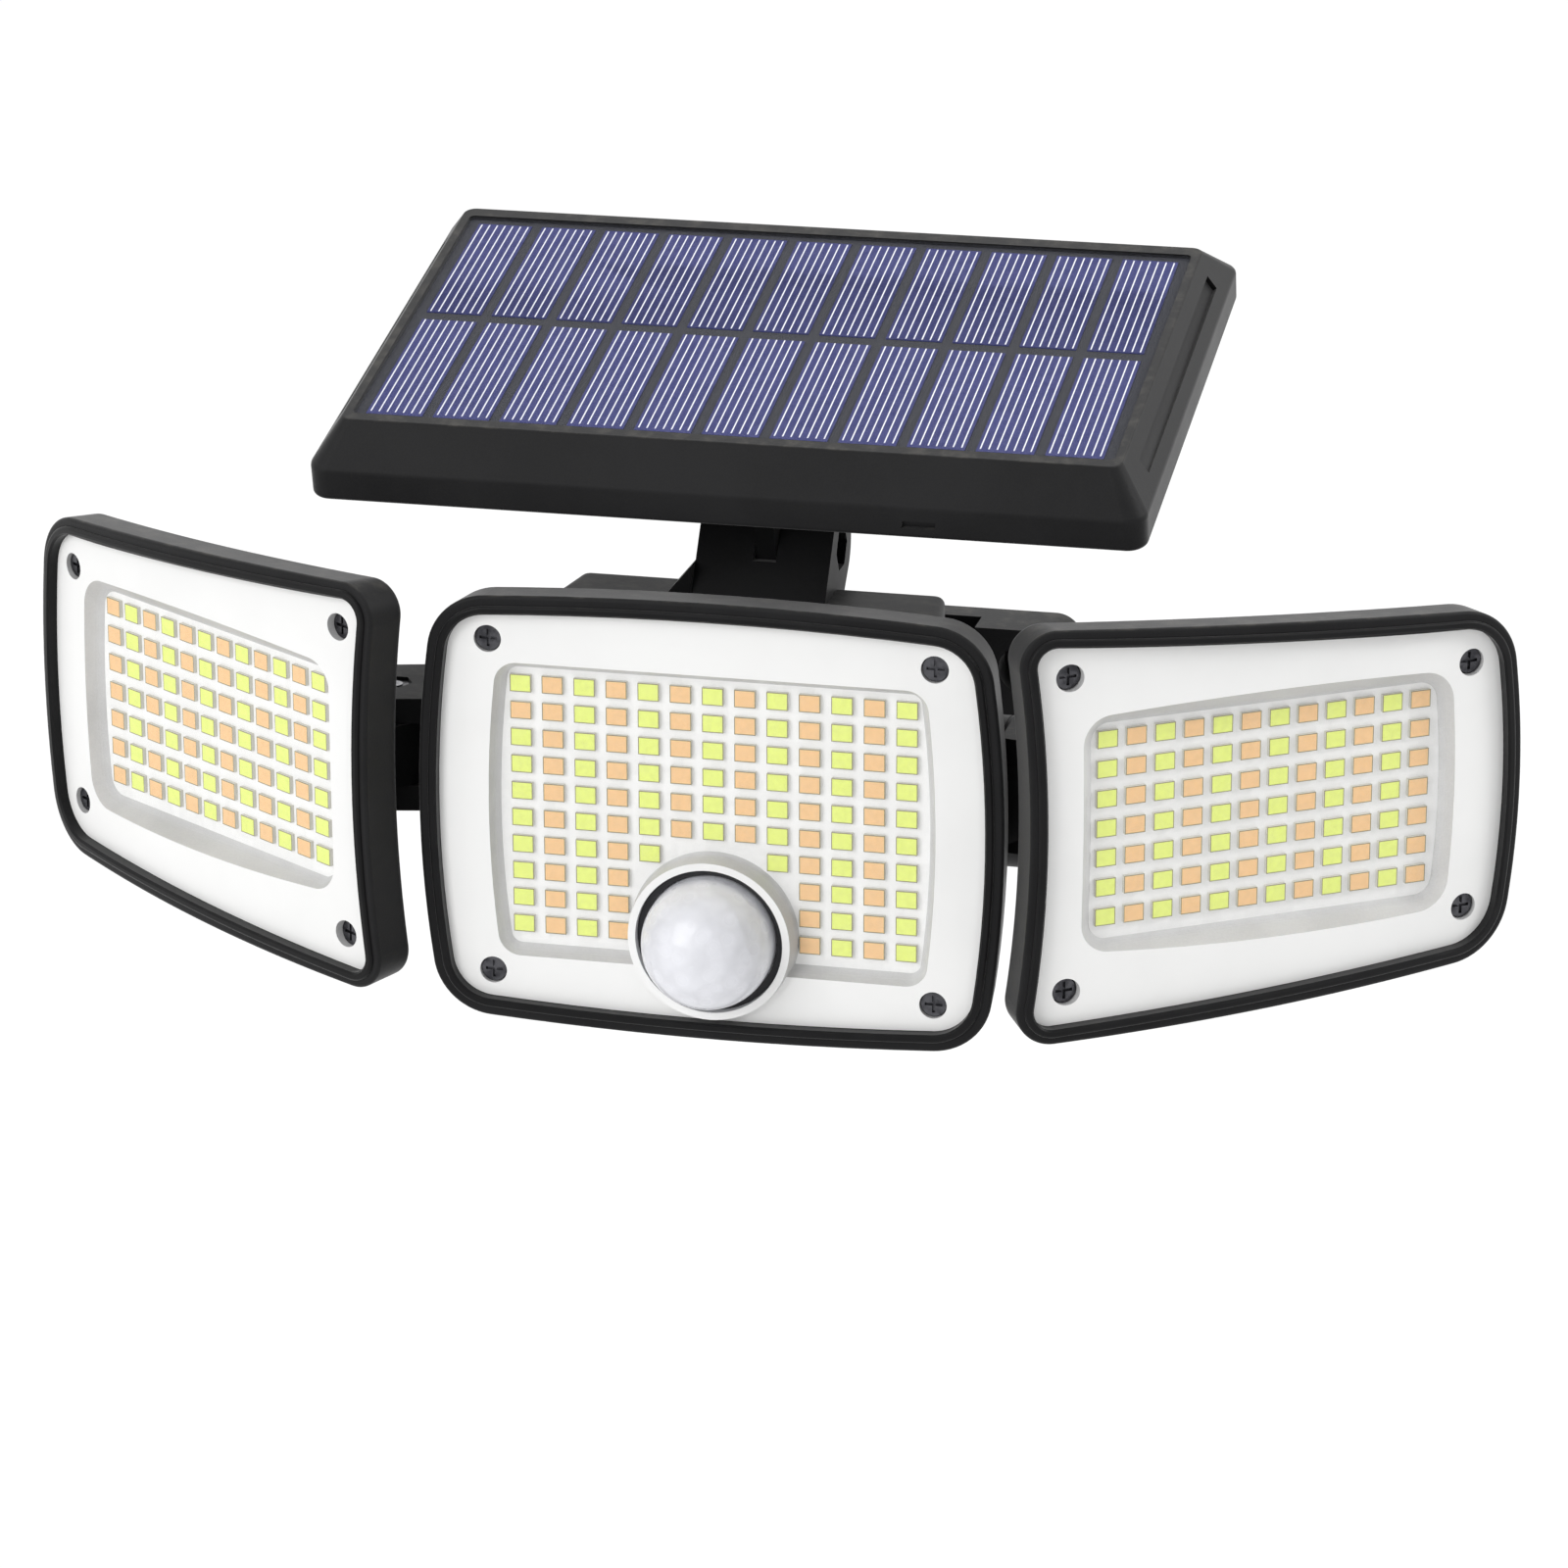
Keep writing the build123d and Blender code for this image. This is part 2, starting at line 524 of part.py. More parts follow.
with BuildPart() as right_casing:
    add(bowed(side_outline(CASE_OUT + 1.45), SIDE_BACK, RING_H - FACE_H, side_outline(CASE_FOOT - 1.55)))
    fillet(right_casing.faces().sort_by(HEAD_OUT)[-1].edges(), 0.6)
    fillet(right_casing.faces().sort_by(HEAD_OUT)[0].edges(), 1.2)
    add(prism(HEAD, block(-36, 37, -27, 27, 4), PAD_BACK, -2.0))
    add(bowed(side_outline(POCKET_OUT), SIDE_SEAT, RING_H), mode=Mode.SUBTRACT)
    add(bowed(side_outline(-3.0), SIDE_FLOOR, RING_H), mode=Mode.SUBTRACT)
    add(prism(HEAD, block(-34.0, 34.4, -25.0, 25.0, 1), PAD_BACK + 1.6, 10), mode=Mode.SUBTRACT)
    for u, v in SIDE_SCREWS:
        seat = bow(u, SIDE_SEAT - 0.4)[1]
        add(prism(HEAD, disc(2.4, u, v), bow(u, SIDE_FLOOR)[1] - 0.4, seat))
        add(prism(HEAD, disc(2.4, u, v), seat, seat + 5), mode=Mode.SUBTRACT)
        add(prism(HEAD, disc(1.25, u, v), seat - 3.2, seat + 1), mode=Mode.SUBTRACT)

with BuildPart() as right_gasket:
    add(bowed(side_outline(LIP_OUT), SIDE_SEAT, LIP_H - FACE_H))
    fillet(right_gasket.faces().sort_by(HEAD_OUT)[-1].edges(), 0.45)
    add(prism(HEAD, side_outline(0.08), -15, 15), mode=Mode.SUBTRACT)
    chamfer(right_gasket.faces().sort_by(HEAD_OUT)[-1].inner_wires()[0].edges(), 0.35)

with BuildPart() as side_funnel:
    add(funnel(HEAD, side_recess(0), side_recess(1)))

with BuildPart() as right_faceplate:
    add(bowed(side_outline(), SIDE_SEAT, 0))
    add(bowed(side_recess(0.5, 1.2), -8, 0))
    add(prism(HEAD, block(-60, 60, -60, 60), -20, -CHIP_T), mode=Mode.SUBTRACT)
    add(side_funnel.part, mode=Mode.SUBTRACT)
    for u, v in SIDE_SCREWS:
        add(prism(HEAD, disc(SCREW_HOLE_R, u, v), -5, 8), mode=Mode.SUBTRACT)

with BuildPart() as right_screws:
    for u, v in SIDE_SCREWS:
        add(pan_screw(HEAD, u, v, bow(u, SIDE_SEAT - 0.4)[1], 2.2, 1.0, 1.2, 3.0))

with BuildPart() as right_led_board:
    add(prism(HEAD, block(-33.2, 34.0, -24.4, 24.4, 1), -CHIP_T - BOARD_T, -CHIP_T))

cool_spots = []
warm_spots = []
for column in range(12):
    for row in range(7):
        spot = ((column - 5.5) * SIDE_PITCH, (3 - row) * SIDE_PITCH)
        if column % 2:
            warm_spots.append(spot)
        else:
            cool_spots.append(spot)

with BuildPart() as right_cool_leds:
    add(chip_group(HEAD, cool_spots))

with BuildPart() as right_warm_leds:
    add(chip_group(HEAD, warm_spots))

with BuildPart() as right_window:
    add(side_funnel.part)
    add(prism(HEAD, block(-60, 60, -60, 60), 0.4, 1.0), mode=Mode.INTERSECT)

# tongue of the upright hinge, on a foot against the back of the casing
with BuildPart() as right_knuckle:
    with BuildSketch(HEAD_EDGE.offset(HEAD_Z - TONGUE_HIGH)):
        with Locations((hinge_u, hinge_h)):
            Circle(YAW_R - 0.2)
        with Locations((hinge_u, PAD_BACK - 0.5)):
            Rectangle(2 * YAW_R - 3.0, 1.0)
        make_hull()
    extrude(amount=TONGUE_HIGH - TONGUE_LOW)
    add(prism(HEAD, block(hinge_u - 13, hinge_u + 13, -15, 11, 4), PAD_BACK - 3.0, PAD_BACK))
    add(prism(Plane.XY, disc(1.55, YAW_X, YAW_Y), 0, 60), mode=Mode.SUBTRACT)

# ------------------------------------------------------------------- side arms
with BuildPart() as right_arm:
    with BuildSketch(SIDE.offset(BOSS_X + 0.15)):
        with Locations((PITCH_Y, PITCH_Z)):
            Circle(PITCH_R)
    extrude(amount=52.0 - BOSS_X - 0.15)
    for low, high in ((AXIS_Z - 7.0, TONGUE_LOW - 0.1), (TONGUE_HIGH + 0.1, AXIS_Z + 13.5)):
        with BuildSketch(Plane.XY.offset(low)):
            with Locations((YAW_X, YAW_Y)):
                Circle(YAW_R)
            with Locations((49.5, PITCH_Y - 2.0)):
                Rectangle(5.0, 19.0)
            make_hull()
        extrude(amount=high - low)
    add(prism(SIDE, block(PITCH_Y - 11.5, PITCH_Y + 7.5, AXIS_Z - 7.0, AXIS_Z + 13.5, 2), 47.0, 52.0))
    with BuildSketch(Plane.XZ.offset(-(YAW_Y + 4.0))):
        with BuildLine():
            Polyline((50, AXIS_Z - 14), (50, AXIS_Z - 6.5), (58, AXIS_Z - 6.5), close=True)
        make_face()
    extrude(amount=8.0)
    add(prism(SIDE, disc(2.55, PITCH_Y, PITCH_Z), 40, 60), mode=Mode.SUBTRACT)
    add(prism(SIDE, disc(5.1, PITCH_Y, PITCH_Z), 49.0, 60), mode=Mode.SUBTRACT)
    add(prism(Plane.XY, disc(1.55, YAW_X, YAW_Y), 0, 60), mode=Mode.SUBTRACT)
    add(prism(Plane.XY, hexagon(5.7, YAW_X, YAW_Y), AXIS_Z + 10.8, AXIS_Z + 20), mode=Mode.SUBTRACT)

with BuildPart() as right_pitch_bolt:
    add(prism(SIDE, hexagon(8.0, PITCH_Y, PITCH_Z), BOX_HALF - BOX_WALL - 2.2, BOX_HALF - BOX_WALL))
    add(prism(SIDE, disc(2.5, PITCH_Y, PITCH_Z), BOX_HALF - BOX_WALL, 51.9))

with BuildPart() as right_pitch_nut:
    add(prism(SIDE, hexagon(8.0, PITCH_Y, PITCH_Z), 49.1, 51.8))
    add(prism(SIDE, disc(2.5, PITCH_Y, PITCH_Z), 40, 60), mode=Mode.SUBTRACT)

with BuildPart() as right_yaw_bolt:
    add(prism(Plane.XY, disc(2.8, YAW_X, YAW_Y), AXIS_Z - 9.2, AXIS_Z - 7.0))
    add(prism(Plane.XY, disc(1.5, YAW_X, YAW_Y), AXIS_Z - 7.0, AXIS_Z + 13.2))
    add(prism(Plane.XY, hexagon(2.5, YAW_X, YAW_Y), AXIS_Z - 10, AXIS_Z - 8.0), mode=Mode.SUBTRACT)

with BuildPart() as right_yaw_nut:
    add(prism(Plane.XY, hexagon(5.5, YAW_X, YAW_Y), AXIS_Z + 10.8, AXIS_Z + 13.0))
    add(prism(Plane.XY, disc(1.5, YAW_X, YAW_Y), 0, 60), mode=Mode.SUBTRACT)

# ----------------------------------------------------------------- solar panel
bevel_up = (PANEL.z_dir * (0.8 - RIDGE_H) - PANEL.x_dir * 4.9).normalized()
bevel_mid = PANEL.from_local_coords((67.5 + 3.6 * 4.9 / (0.8 - RIDGE_H), 0, -2.8))
BEVEL = Plane(origin=bevel_mid, x_dir=PANEL.y_dir, z_dir=bevel_up)
with BuildPart() as bevel_recess:
    with BuildSketch(BEVEL):
        with BuildLine():
            Polyline((-33.0, 0.3), (36.0, 0.8), (36.0, -2.0), (-33.0, -2.0), close=True)
        make_face()
    extrude(amount=1.4, both=True)

with BuildPart() as panel_housing:
    with BuildSketch(PANEL.offset(0.8)):
        add(block(-67.5, 67.5, -40.6, 41.9, 2.0))
    with BuildSketch(PANEL.offset(RIDGE_H)):
        add(block(-72.4, 72.4, -46.5, REAR_S, 3.5))
    loft(ruled=True)
    add(prism(PANEL, block(-72.4, 72.4, -46.5, REAR_S, 3.5), -12.0, RIDGE_H))
    fillet(panel_housing.edges().group_by(PANEL_UP)[2], 1.2)
    fillet(panel_housing.faces().sort_by(PANEL_UP)[-1].edges(), 0.5)
    fillet(panel_housing.faces().sort_by(PANEL_UP)[0].edges(), 0.9)
    add(prism(PANEL, block(-66.0, 66.0, -38.1, 38.95, 1.0), -1.2, 2), mode=Mode.SUBTRACT)
    add(prism(PANEL, block(-66.0, 66.0, -39.5, 41.0, 2.0), -12.5, -2.8), mode=Mode.SUBTRACT)
    add(prism(PANEL, block(-70.4, 70.4, -44.5, REAR_S - 2.0, 2.0), -12.5, -7.0), mode=Mode.SUBTRACT)
    # a long shallow recess in each side bevel, deepest at the back, and a small notch in the front lip
    add(bevel_recess.part, mode=Mode.SUBTRACT)
    mirror(bevel_recess.part, about=Plane.YZ, mode=Mode.SUBTRACT)
    add(prism(PANEL, block(31.1, 36.9, -47.5, -45.7), -10.0, -8.7), mode=Mode.SUBTRACT)
    for x in (-60.0, 60.0):
        for s in (-35.0, 37.0):
            add(prism(PANEL, disc(3.0, x, s), -10.3, -2.7))
            add(prism(PANEL, disc(1.25, x, s), -11, -4.5), mode=Mode.SUBTRACT)

with BuildPart() as panel_base:
    add(prism(PANEL, block(-70.3, 70.3, -44.4, REAR_S - 2.1, 2.0), -12.0, -10.3))
    add(prism(PANEL, block(-14, 16, -30, 8, 5), -13.5, -12.0))
    with BuildSketch(SIDE.offset(SLIT_LEFT + 0.2)):
        with Locations((TILT_Y, TILT_Z)):
            Circle(TILT_R)
        foot = [PANEL.from_local_coords((0, s, -12.5)) for s in (-25.0, 2.0)]
        with BuildLine():
            Line((foot[0].Y, foot[0].Z), (foot[1].Y, foot[1].Z))
        make_hull()
    extrude(amount=SLIT_RIGHT - SLIT_LEFT - 0.6)
    add(prism(SIDE, disc(2.05, TILT_Y, TILT_Z), -20, 20), mode=Mode.SUBTRACT)
    for x in (-60.0, 60.0):
        for s in (-35.0, 37.0):
            add(prism(PANEL, disc(1.6, x, s), -13, -9), mode=Mode.SUBTRACT)

panel_under = Plane(origin=PANEL.origin, x_dir=(-1, 0, 0), z_dir=-PANEL.z_dir)
with BuildPart() as base_screws:
    for x in (-60.0, 60.0):
        for s in (-35.0, 37.0):
            add(pan_screw(panel_under, x, s, 12.0, 2.4, 1.4, 1.2, 6.5))

with BuildPart() as solar_board:
    add(prism(PANEL, block(-65.9, 65.9, -38.0, 38.85, 1.0), -1.2, 0))

with BuildPart() as solar_cells:
    with BuildSketch(PANEL):
        for low, high in CELL_ROWS:
            with Locations(*[((i - 5) * CELL_PITCH, (low + high) / 2) for i in range(11)]):
                Rectangle(CELL_W, high - low)
    extrude(amount=0.2)

with BuildPart() as solar_glaze:
    add(prism(PANEL, block(-65.9, 65.9, -38.0, 38.85, 1.0), 0.2, 0.6))

with BuildPart() as tilt_bolt:
    add(prism(SIDE, disc(3.6, TILT_Y, TILT_Z), EAR_LEFT + 0.4, EAR_LEFT + 2.6))
    add(prism(SIDE, disc(2.0, TILT_Y, TILT_Z), EAR_LEFT + 2.6, EAR_RIGHT - 1.7))
    add(prism(SIDE, hexagon(3.0, TILT_Y, TILT_Z), EAR_LEFT, EAR_LEFT + 1.4), mode=Mode.SUBTRACT)

with BuildPart() as tilt_nut:
    add(prism(SIDE, hexagon(7.0, TILT_Y, TILT_Z), EAR_RIGHT - 4.6, EAR_RIGHT - 1.9))
    add(prism(SIDE, disc(2.0, TILT_Y, TILT_Z), 0, 20), mode=Mode.SUBTRACT)

# ------------------------------------------------------------ left side, mirrored
right_pieces = {
    "casing": right_casing,
    "gasket": right_gasket,
    "faceplate": right_faceplate,
    "screws": right_screws,
    "led_board": right_led_board,
    "cool_leds": right_cool_leds,
    "warm_leds": right_warm_leds,
    "window": right_window,
    "knuckle": right_knuckle,
    "arm": right_arm,
    "pitch_bolt": right_pitch_bolt,
    "pitch_nut": right_pitch_nut,
    "yaw_bolt": right_yaw_bolt,
    "yaw_nut": right_yaw_nut,
}
pieces = {
    "wall_plate": wall_plate,
    "mount_arm": mount_arm,
    "lock_screw": lock_screw,
    "mount_screws": mount_screws,
    "battery_housing": battery_housing,
    "battery_upper": battery_upper,
    "battery_lower": battery_lower,
    "battery_cradle": battery_cradle,
    "control_board": control_board,
    "button_switch": button_switch,
    "power_button": power_button,
    "centre_casing": centre_casing,
    "centre_gasket": centre_gasket,
    "centre_faceplate": centre_faceplate,
    "centre_screws": centre_screws,
    "centre_led_board": centre_led_board,
    "centre_cool_leds": centre_cool_leds,
    "centre_warm_leds": centre_warm_leds,
    "centre_window": centre_window,
    "sensor_lens": sensor_lens,
    "sensor_holder": sensor_holder,
    "sensor_board": sensor_board,
    "motion_sensor": motion_sensor,
    "panel_housing": panel_housing,
    "panel_base": panel_base,
    "base_screws": base_screws,
    "solar_board": solar_board,
    "solar_cells": solar_cells,
    "solar_glaze": solar_glaze,
    "tilt_bolt": tilt_bolt,
    "tilt_nut": tilt_nut,
}
for name, piece in right_pieces.items():
    with BuildPart() as left_piece:
        mirror(piece.part, about=Plane.YZ)
    pieces["right_" + name] = piece
    pieces["left_" + name] = left_piece

for name, piece in pieces.items():
    piece.part.label = name
    export_step(piece.part, "parts/" + name + ".step")
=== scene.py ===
from math import cos, radians, sin

import bmesh
import bpy
from bpy.props import FloatProperty, FloatVectorProperty, IntProperty, PointerProperty
from mathutils import Matrix, Vector


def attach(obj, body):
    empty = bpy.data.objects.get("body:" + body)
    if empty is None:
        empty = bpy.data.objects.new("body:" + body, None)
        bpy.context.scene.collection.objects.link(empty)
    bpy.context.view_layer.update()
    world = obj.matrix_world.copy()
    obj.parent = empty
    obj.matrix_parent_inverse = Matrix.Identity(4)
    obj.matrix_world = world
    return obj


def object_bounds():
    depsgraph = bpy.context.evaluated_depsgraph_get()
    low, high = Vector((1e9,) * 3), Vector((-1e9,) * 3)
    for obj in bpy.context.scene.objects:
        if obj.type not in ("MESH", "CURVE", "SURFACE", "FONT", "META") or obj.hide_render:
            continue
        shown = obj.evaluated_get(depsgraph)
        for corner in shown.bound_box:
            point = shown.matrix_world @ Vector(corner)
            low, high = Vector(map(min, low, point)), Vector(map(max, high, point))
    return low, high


bl_info = {
    "name": "Motion Sensor Security Light",
    "version": (1, 0, 0),
    "blender": (4, 5, 0),
    "location": "3D View > Sidebar > Security Light",
    "description": "Finishes, solar cell grid and studio for a solar security light with a motion sensor",
    "category": "Object",
}

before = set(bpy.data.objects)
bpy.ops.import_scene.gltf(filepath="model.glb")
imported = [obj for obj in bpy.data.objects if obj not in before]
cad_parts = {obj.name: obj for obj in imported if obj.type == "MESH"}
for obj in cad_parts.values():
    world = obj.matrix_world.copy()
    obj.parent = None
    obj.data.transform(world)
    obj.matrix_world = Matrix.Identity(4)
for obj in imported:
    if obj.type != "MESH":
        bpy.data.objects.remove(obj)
CAD_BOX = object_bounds()

# Planes of the model, in metres and radians: origin, turn and front, as the solids have them
FRONT = -0.112
AXIS_Z = 0.0171
CENTRE_ORIGIN = (0.0, FRONT, AXIS_Z)
HEAD_ORIGIN = (0.0923, FRONT + 0.0126, AXIS_Z + 0.00483)
HEAD_YAW = radians(34.0)
HEAD_FRONTS = {
    "centre_": (0.0, -1.0, 0.0),
    "right_": (sin(HEAD_YAW), -cos(HEAD_YAW), 0.0),
    "left_": (-sin(HEAD_YAW), -cos(HEAD_YAW), 0.0),
}
SENSOR_ORIGIN = (0.0, FRONT - 0.0045, AXIS_Z - 0.021)
PANEL_ORIGIN = (0.0, FRONT + 0.049635, AXIS_Z + 0.071237)
PANEL_TILT = radians(12.02)
PANEL_UP = (0.0, -sin(PANEL_TILT), cos(PANEL_TILT))
PANEL_MATRIX = Matrix.Translation(PANEL_ORIGIN) @ Matrix.Rotation(PANEL_TILT, 4, "X")

# Solar cells on the panel: distance between columns, the two rows, and the height of the print
CELL_PITCH = 0.01179
CELL_ROWS = ((0.0020, 0.0366), (-0.0360, -0.0013))
CELL_FACE = 0.0002
PAD_SIDES = 8

# Lamp chips: half width and half height, the dark line round each, and the grids across and up
CHIP_HALF = (0.00185, 0.00155)
CHIP_LINE = 0.00012
CHIP_LINE_BLUR = 0.00006
CENTRE_PITCH = (0.0056, 0.004833)
SIDE_PITCH = (0.005243, 0.005243)

# Gap between a window's edge and the recess it sits in
WINDOW_GAP = 0.00006

# Finishes: sheen of the plastic, haze of the clear covers
SHEEN = 0.25
SHEEN_ROUGHNESS = 0.4
WINDOW_HAZE = 0.04
RESIN_HAZE = 0.015

# Stage: each lamp's name, place and width, the floor's own glow, and the camera's film
LAMPS = (
    ("key", (-0.75, -1.15, 0.65), 0.9),
    ("side", (1.15, 0.10, 0.75), 0.45),
    ("top", (0.1, 0.25, 1.15), 0.9),
)
FLOOR_GLOW = 1.12
FLOOR_GLOW_SHARE = 0.8
FILM_WIDTH = 36.0
CLIP_NEAR = 0.02
CLIP_FAR = 20.0


def tint(red, green, blue):
    """Linear colour of a display colour from 0 to 255."""
    shares = [value / 255 for value in (red, green, blue)]
    return tuple(s / 12.92 if s < 0.04045 else ((s + 0.055) / 1.055) ** 2.4 for s in shares)


def opaque(colour):
    """Colour with full alpha, as a colour socket takes it."""
    return (*colour[:3], 1.0)


def dimmed(colour, share):
    """Opaque colour at a share of its brightness."""
    return opaque([share * value for value in colour[:3]])


def length_property(name, description, default):
    """Length setting in metres."""
    return FloatProperty(
        name=name, description=description, default=default, unit="LENGTH", precision=5
    )


def power_property(name, description, default):
    """Power setting of a lamp in watts."""
    return FloatProperty(name=name, description=description, default=default, unit="POWER")


def colour_property(name, description, display):
    """Colour setting with a default given as a display colour."""
    return FloatVectorProperty(
        name=name, description=description, subtype="COLOR", size=3, min=0, max=1, default=tint(*display)
    )


# ------------------------------------------------------------------- settings
class FinishSettings(bpy.types.PropertyGroup):
    plastic: colour_property("Plastic", "Charcoal of the moulded housings", (22, 22, 23))
    plastic_worn: colour_property("Plastic mottle", "Lighter patches of the charcoal plastic", (30, 30, 31))
    rubber: colour_property("Rubber", "Seals and the button", (15, 15, 16))
    white: colour_property("White plastic", "Face of the lamp heads", (250, 250, 249))
    # Painted shade: the recess walls are the plate's white, and this grey paints the shade in the recesses
    bevel: colour_property("Recess wall shade", "Sloping walls of the lamp recesses", (216, 216, 216))
    lamp_board: colour_property("Lamp board", "Solder mask of the lamp boards", (253, 253, 252))
    cool: colour_property("Cool phosphor", "Lens of the cool white chips", (240, 254, 122))
    warm: colour_property("Warm phosphor", "Lens of the warm white chips", (253, 204, 142))
    chip_edge: colour_property("Chip edge", "Line round each chip", (128, 122, 84))
    chip_side: colour_property("Chip side", "Sides of the chips", (206, 204, 192))
    holder: colour_property("Sensor holder", "Grey plastic round the dome", (62, 62, 64))
    dome: colour_property("Dome", "Milky plastic of the sensor lens", (240, 241, 247))
    cell: colour_property("Solar cell", "Silicon between the fingers", (52, 56, 116))
    cell_deep: colour_property("Solar cell, deep", "Darker crystals of the silicon", (44, 47, 100))
    finger: colour_property("Finger", "Printed silver lines of the cells", (240, 241, 252))


class CellSettings(bpy.types.PropertyGroup):
    columns: IntProperty(name="Columns", description="Cells in a row", default=11, min=1, max=11)
    fingers: IntProperty(name="Fingers", description="Silver lines on a cell", default=7, min=1, max=12)
    spacing: length_property("Spacing", "Distance between the lines", 0.001434)
    width: length_property("Width", "Width of a line", 0.00024)
    height: length_property("Height", "Height of a line over the cell", 0.00004)
    pad: length_property("Pad", "Size of the test pads", 0.00034)
    pad_row: length_property("Pad row", "Place of the pads along the panel", -0.0374)


class StageSettings(bpy.types.PropertyGroup):
    azimuth: FloatProperty(
        name="Azimuth", description="Camera's turn round the light", default=radians(13.164), subtype="ANGLE"
    )
    elevation: FloatProperty(
        name="Elevation", description="Camera's height over the horizon", default=radians(19.305),
        subtype="ANGLE"
    )
    roll: FloatProperty(
        name="Roll", description="Camera's turn about its view", default=radians(-0.15), subtype="ANGLE"
    )
    distance: length_property("Distance", "Camera to its target", 1.0534)
    target: FloatVectorProperty(
        name="Target", description="Point the camera looks at", default=(0.012366, -0.112, 0.024243),
        subtype="TRANSLATION", precision=5
    )
    focal: FloatProperty(
        name="Focal length", description="Lens in millimetres on 36 mm", default=143.05, min=10
    )
    sky: FloatProperty(
        name="Sky", description="Level of the even studio light", default=0.55, min=0, max=2
    )
    key: power_property("Key lamp", "Power of the front lamp", 9.0)
    side: power_property("Side lamp", "Power of the lamp at the right", 6.0)
    top: power_property("Top lamp", "Power of the lamp over the light", 4.5)
    floor_drop: length_property("Floor drop", "Floor under the lowest point of the light", 0.12)
    floor_size: length_property("Floor size", "Width of the floor", 6.0)


# -------------------------------------------------------------- node shorthand
def feed(tree, socket, value):
    """Link an output to a socket, or set the socket to a value."""
    if isinstance(value, bpy.types.NodeSocket):
        tree.links.new(value, socket)
    elif value is not None:
        socket.default_value = value


def maths(tree, operation, *values, clamp=False):
    """Output of a Math node."""
    made = tree.nodes.new("ShaderNodeMath")
    made.operation = operation
    made.use_clamp = clamp
    for socket, value in zip(made.inputs, values):
        feed(tree, socket, value)
    return made.outputs[0]


def dot(tree, first, second):
    """Output of a dot product of two vectors."""
    made = tree.nodes.new("ShaderNodeVectorMath")
    made.operation = "DOT_PRODUCT"
    feed(tree, made.inputs[0], first)
    feed(tree, made.inputs[1], second)
    return made.outputs["Value"]


def blend(tree, share, first, second):
    """Colour between two colours, by a share from 0 to 1."""
    made = tree.nodes.new("ShaderNodeMix")
    made.data_type = "RGBA"
    feed(tree, made.inputs["Factor"], share)
    feed(tree, made.inputs[6], first)
    feed(tree, made.inputs[7], second)
    return made.outputs[2]


def spread(tree, value, low, high, to_low=0.0, to_high=1.0):
    """Value mapped smoothly from one range to another."""
    made = tree.nodes.new("ShaderNodeMapRange")
    made.interpolation_type = "SMOOTHSTEP"
    for socket, number in zip(made.inputs, (value, low, high, to_low, to_high)):
        feed(tree, socket, number)
    return made.outputs["Result"]


def noise(tree, vector, scale, detail=3.0, roughness=0.55):
    """Value of a Noise Texture."""
    made = tree.nodes.new("ShaderNodeTexNoise")
    feed(tree, made.inputs["Vector"], vector)
    feed(tree, made.inputs["Scale"], scale)
    made.inputs["Detail"].default_value = detail
    made.inputs["Roughness"].default_value = roughness
    return made.outputs["Fac"]


def axes(tree, vector):
    """X, Y and Z of a vector."""
    made = tree.nodes.new("ShaderNodeSeparateXYZ")
    feed(tree, made.inputs[0], vector)
    return made.outputs


# ---------------------------------------------------------------- node groups
VALUE = "NodeSocketFloat"
VECTOR = "NodeSocketVector"
COLOUR = "NodeSocketColor"


def new_group(name, inputs, outputs):
    """Shader node group with named sockets; returns its tree, input values and output sockets."""
    tree = bpy.data.node_groups.new(name, "ShaderNodeTree")
    for label, kind in inputs:
        tree.interface.new_socket(label, in_out="INPUT", socket_type=kind)
    for label, kind in outputs:
        tree.interface.new_socket(label, in_out="OUTPUT", socket_type=kind)
    entry = tree.nodes.new("NodeGroupInput")
    leave = tree.nodes.new("NodeGroupOutput")
    return tree, entry.outputs, leave.inputs


def make_moulded_grain():
    """Fine eroded texture of moulded plastic with faint broad patches."""
    tree, given, made = new_group(
        "Moulded grain",
        [("Vector", VECTOR), ("Colour", COLOUR), ("Mottle", COLOUR), ("Roughness", VALUE), ("Scale", VALUE)],
        [("Color", COLOUR), ("Roughness", VALUE), ("Height", VALUE)],
    )
    fine = noise(tree, given["Vector"], given["Scale"], 2.0, 0.6)
    broad = noise(tree, given["Vector"], maths(tree, "MULTIPLY", given["Scale"], 0.02), 3.0)
    share = spread(tree, maths(tree, "ADD", maths(tree, "MULTIPLY", fine, 0.35), broad), 0.45, 0.9)
    feed(tree, made["Color"], blend(tree, share, given["Colour"], given["Mottle"]))
    uneven = maths(tree, "MULTIPLY", maths(tree, "SUBTRACT", broad, 0.5), 0.22)
    feed(tree, made["Roughness"], maths(tree, "ADD", given["Roughness"], uneven, clamp=True))
    feed(tree, made["Height"], fine)


def make_dusting_and_top_light():
    """Thin dusting and painted top light: faces that look up are made lighter, as if lit from above."""
    tree, given, made = new_group(
        "Settled dust",
        [("Vector", VECTOR), ("Normal", VECTOR), ("Color", COLOUR), ("Dust", COLOUR), ("Amount", VALUE)],
        [("Color", COLOUR)],
    )
    # Painted top light: the more a face looks up, the lighter it is made, in specks like dusting
    rise = spread(tree, axes(tree, given["Normal"])["Z"], 0.55, 1.0)
    specks = spread(tree, noise(tree, given["Vector"], 260.0, 5.0, 0.65), 0.42, 0.75)
    mask = maths(tree, "MULTIPLY", maths(tree, "MULTIPLY", rise, specks), given["Amount"], clamp=True)
    feed(tree, made["Color"], blend(tree, mask, given["Color"], given["Dust"]))


def make_sloping_walls():
    """Mask of the faces that slope away from a head's front."""
    tree, given, made = new_group("Sloping walls", [("Normal", VECTOR), ("Front", VECTOR)], [("Mask", VALUE)])
    facing = dot(tree, given["Normal"], given["Front"])
    feed(tree, made["Mask"], spread(tree, facing, 0.80, 0.95, 1.0, 0.0))


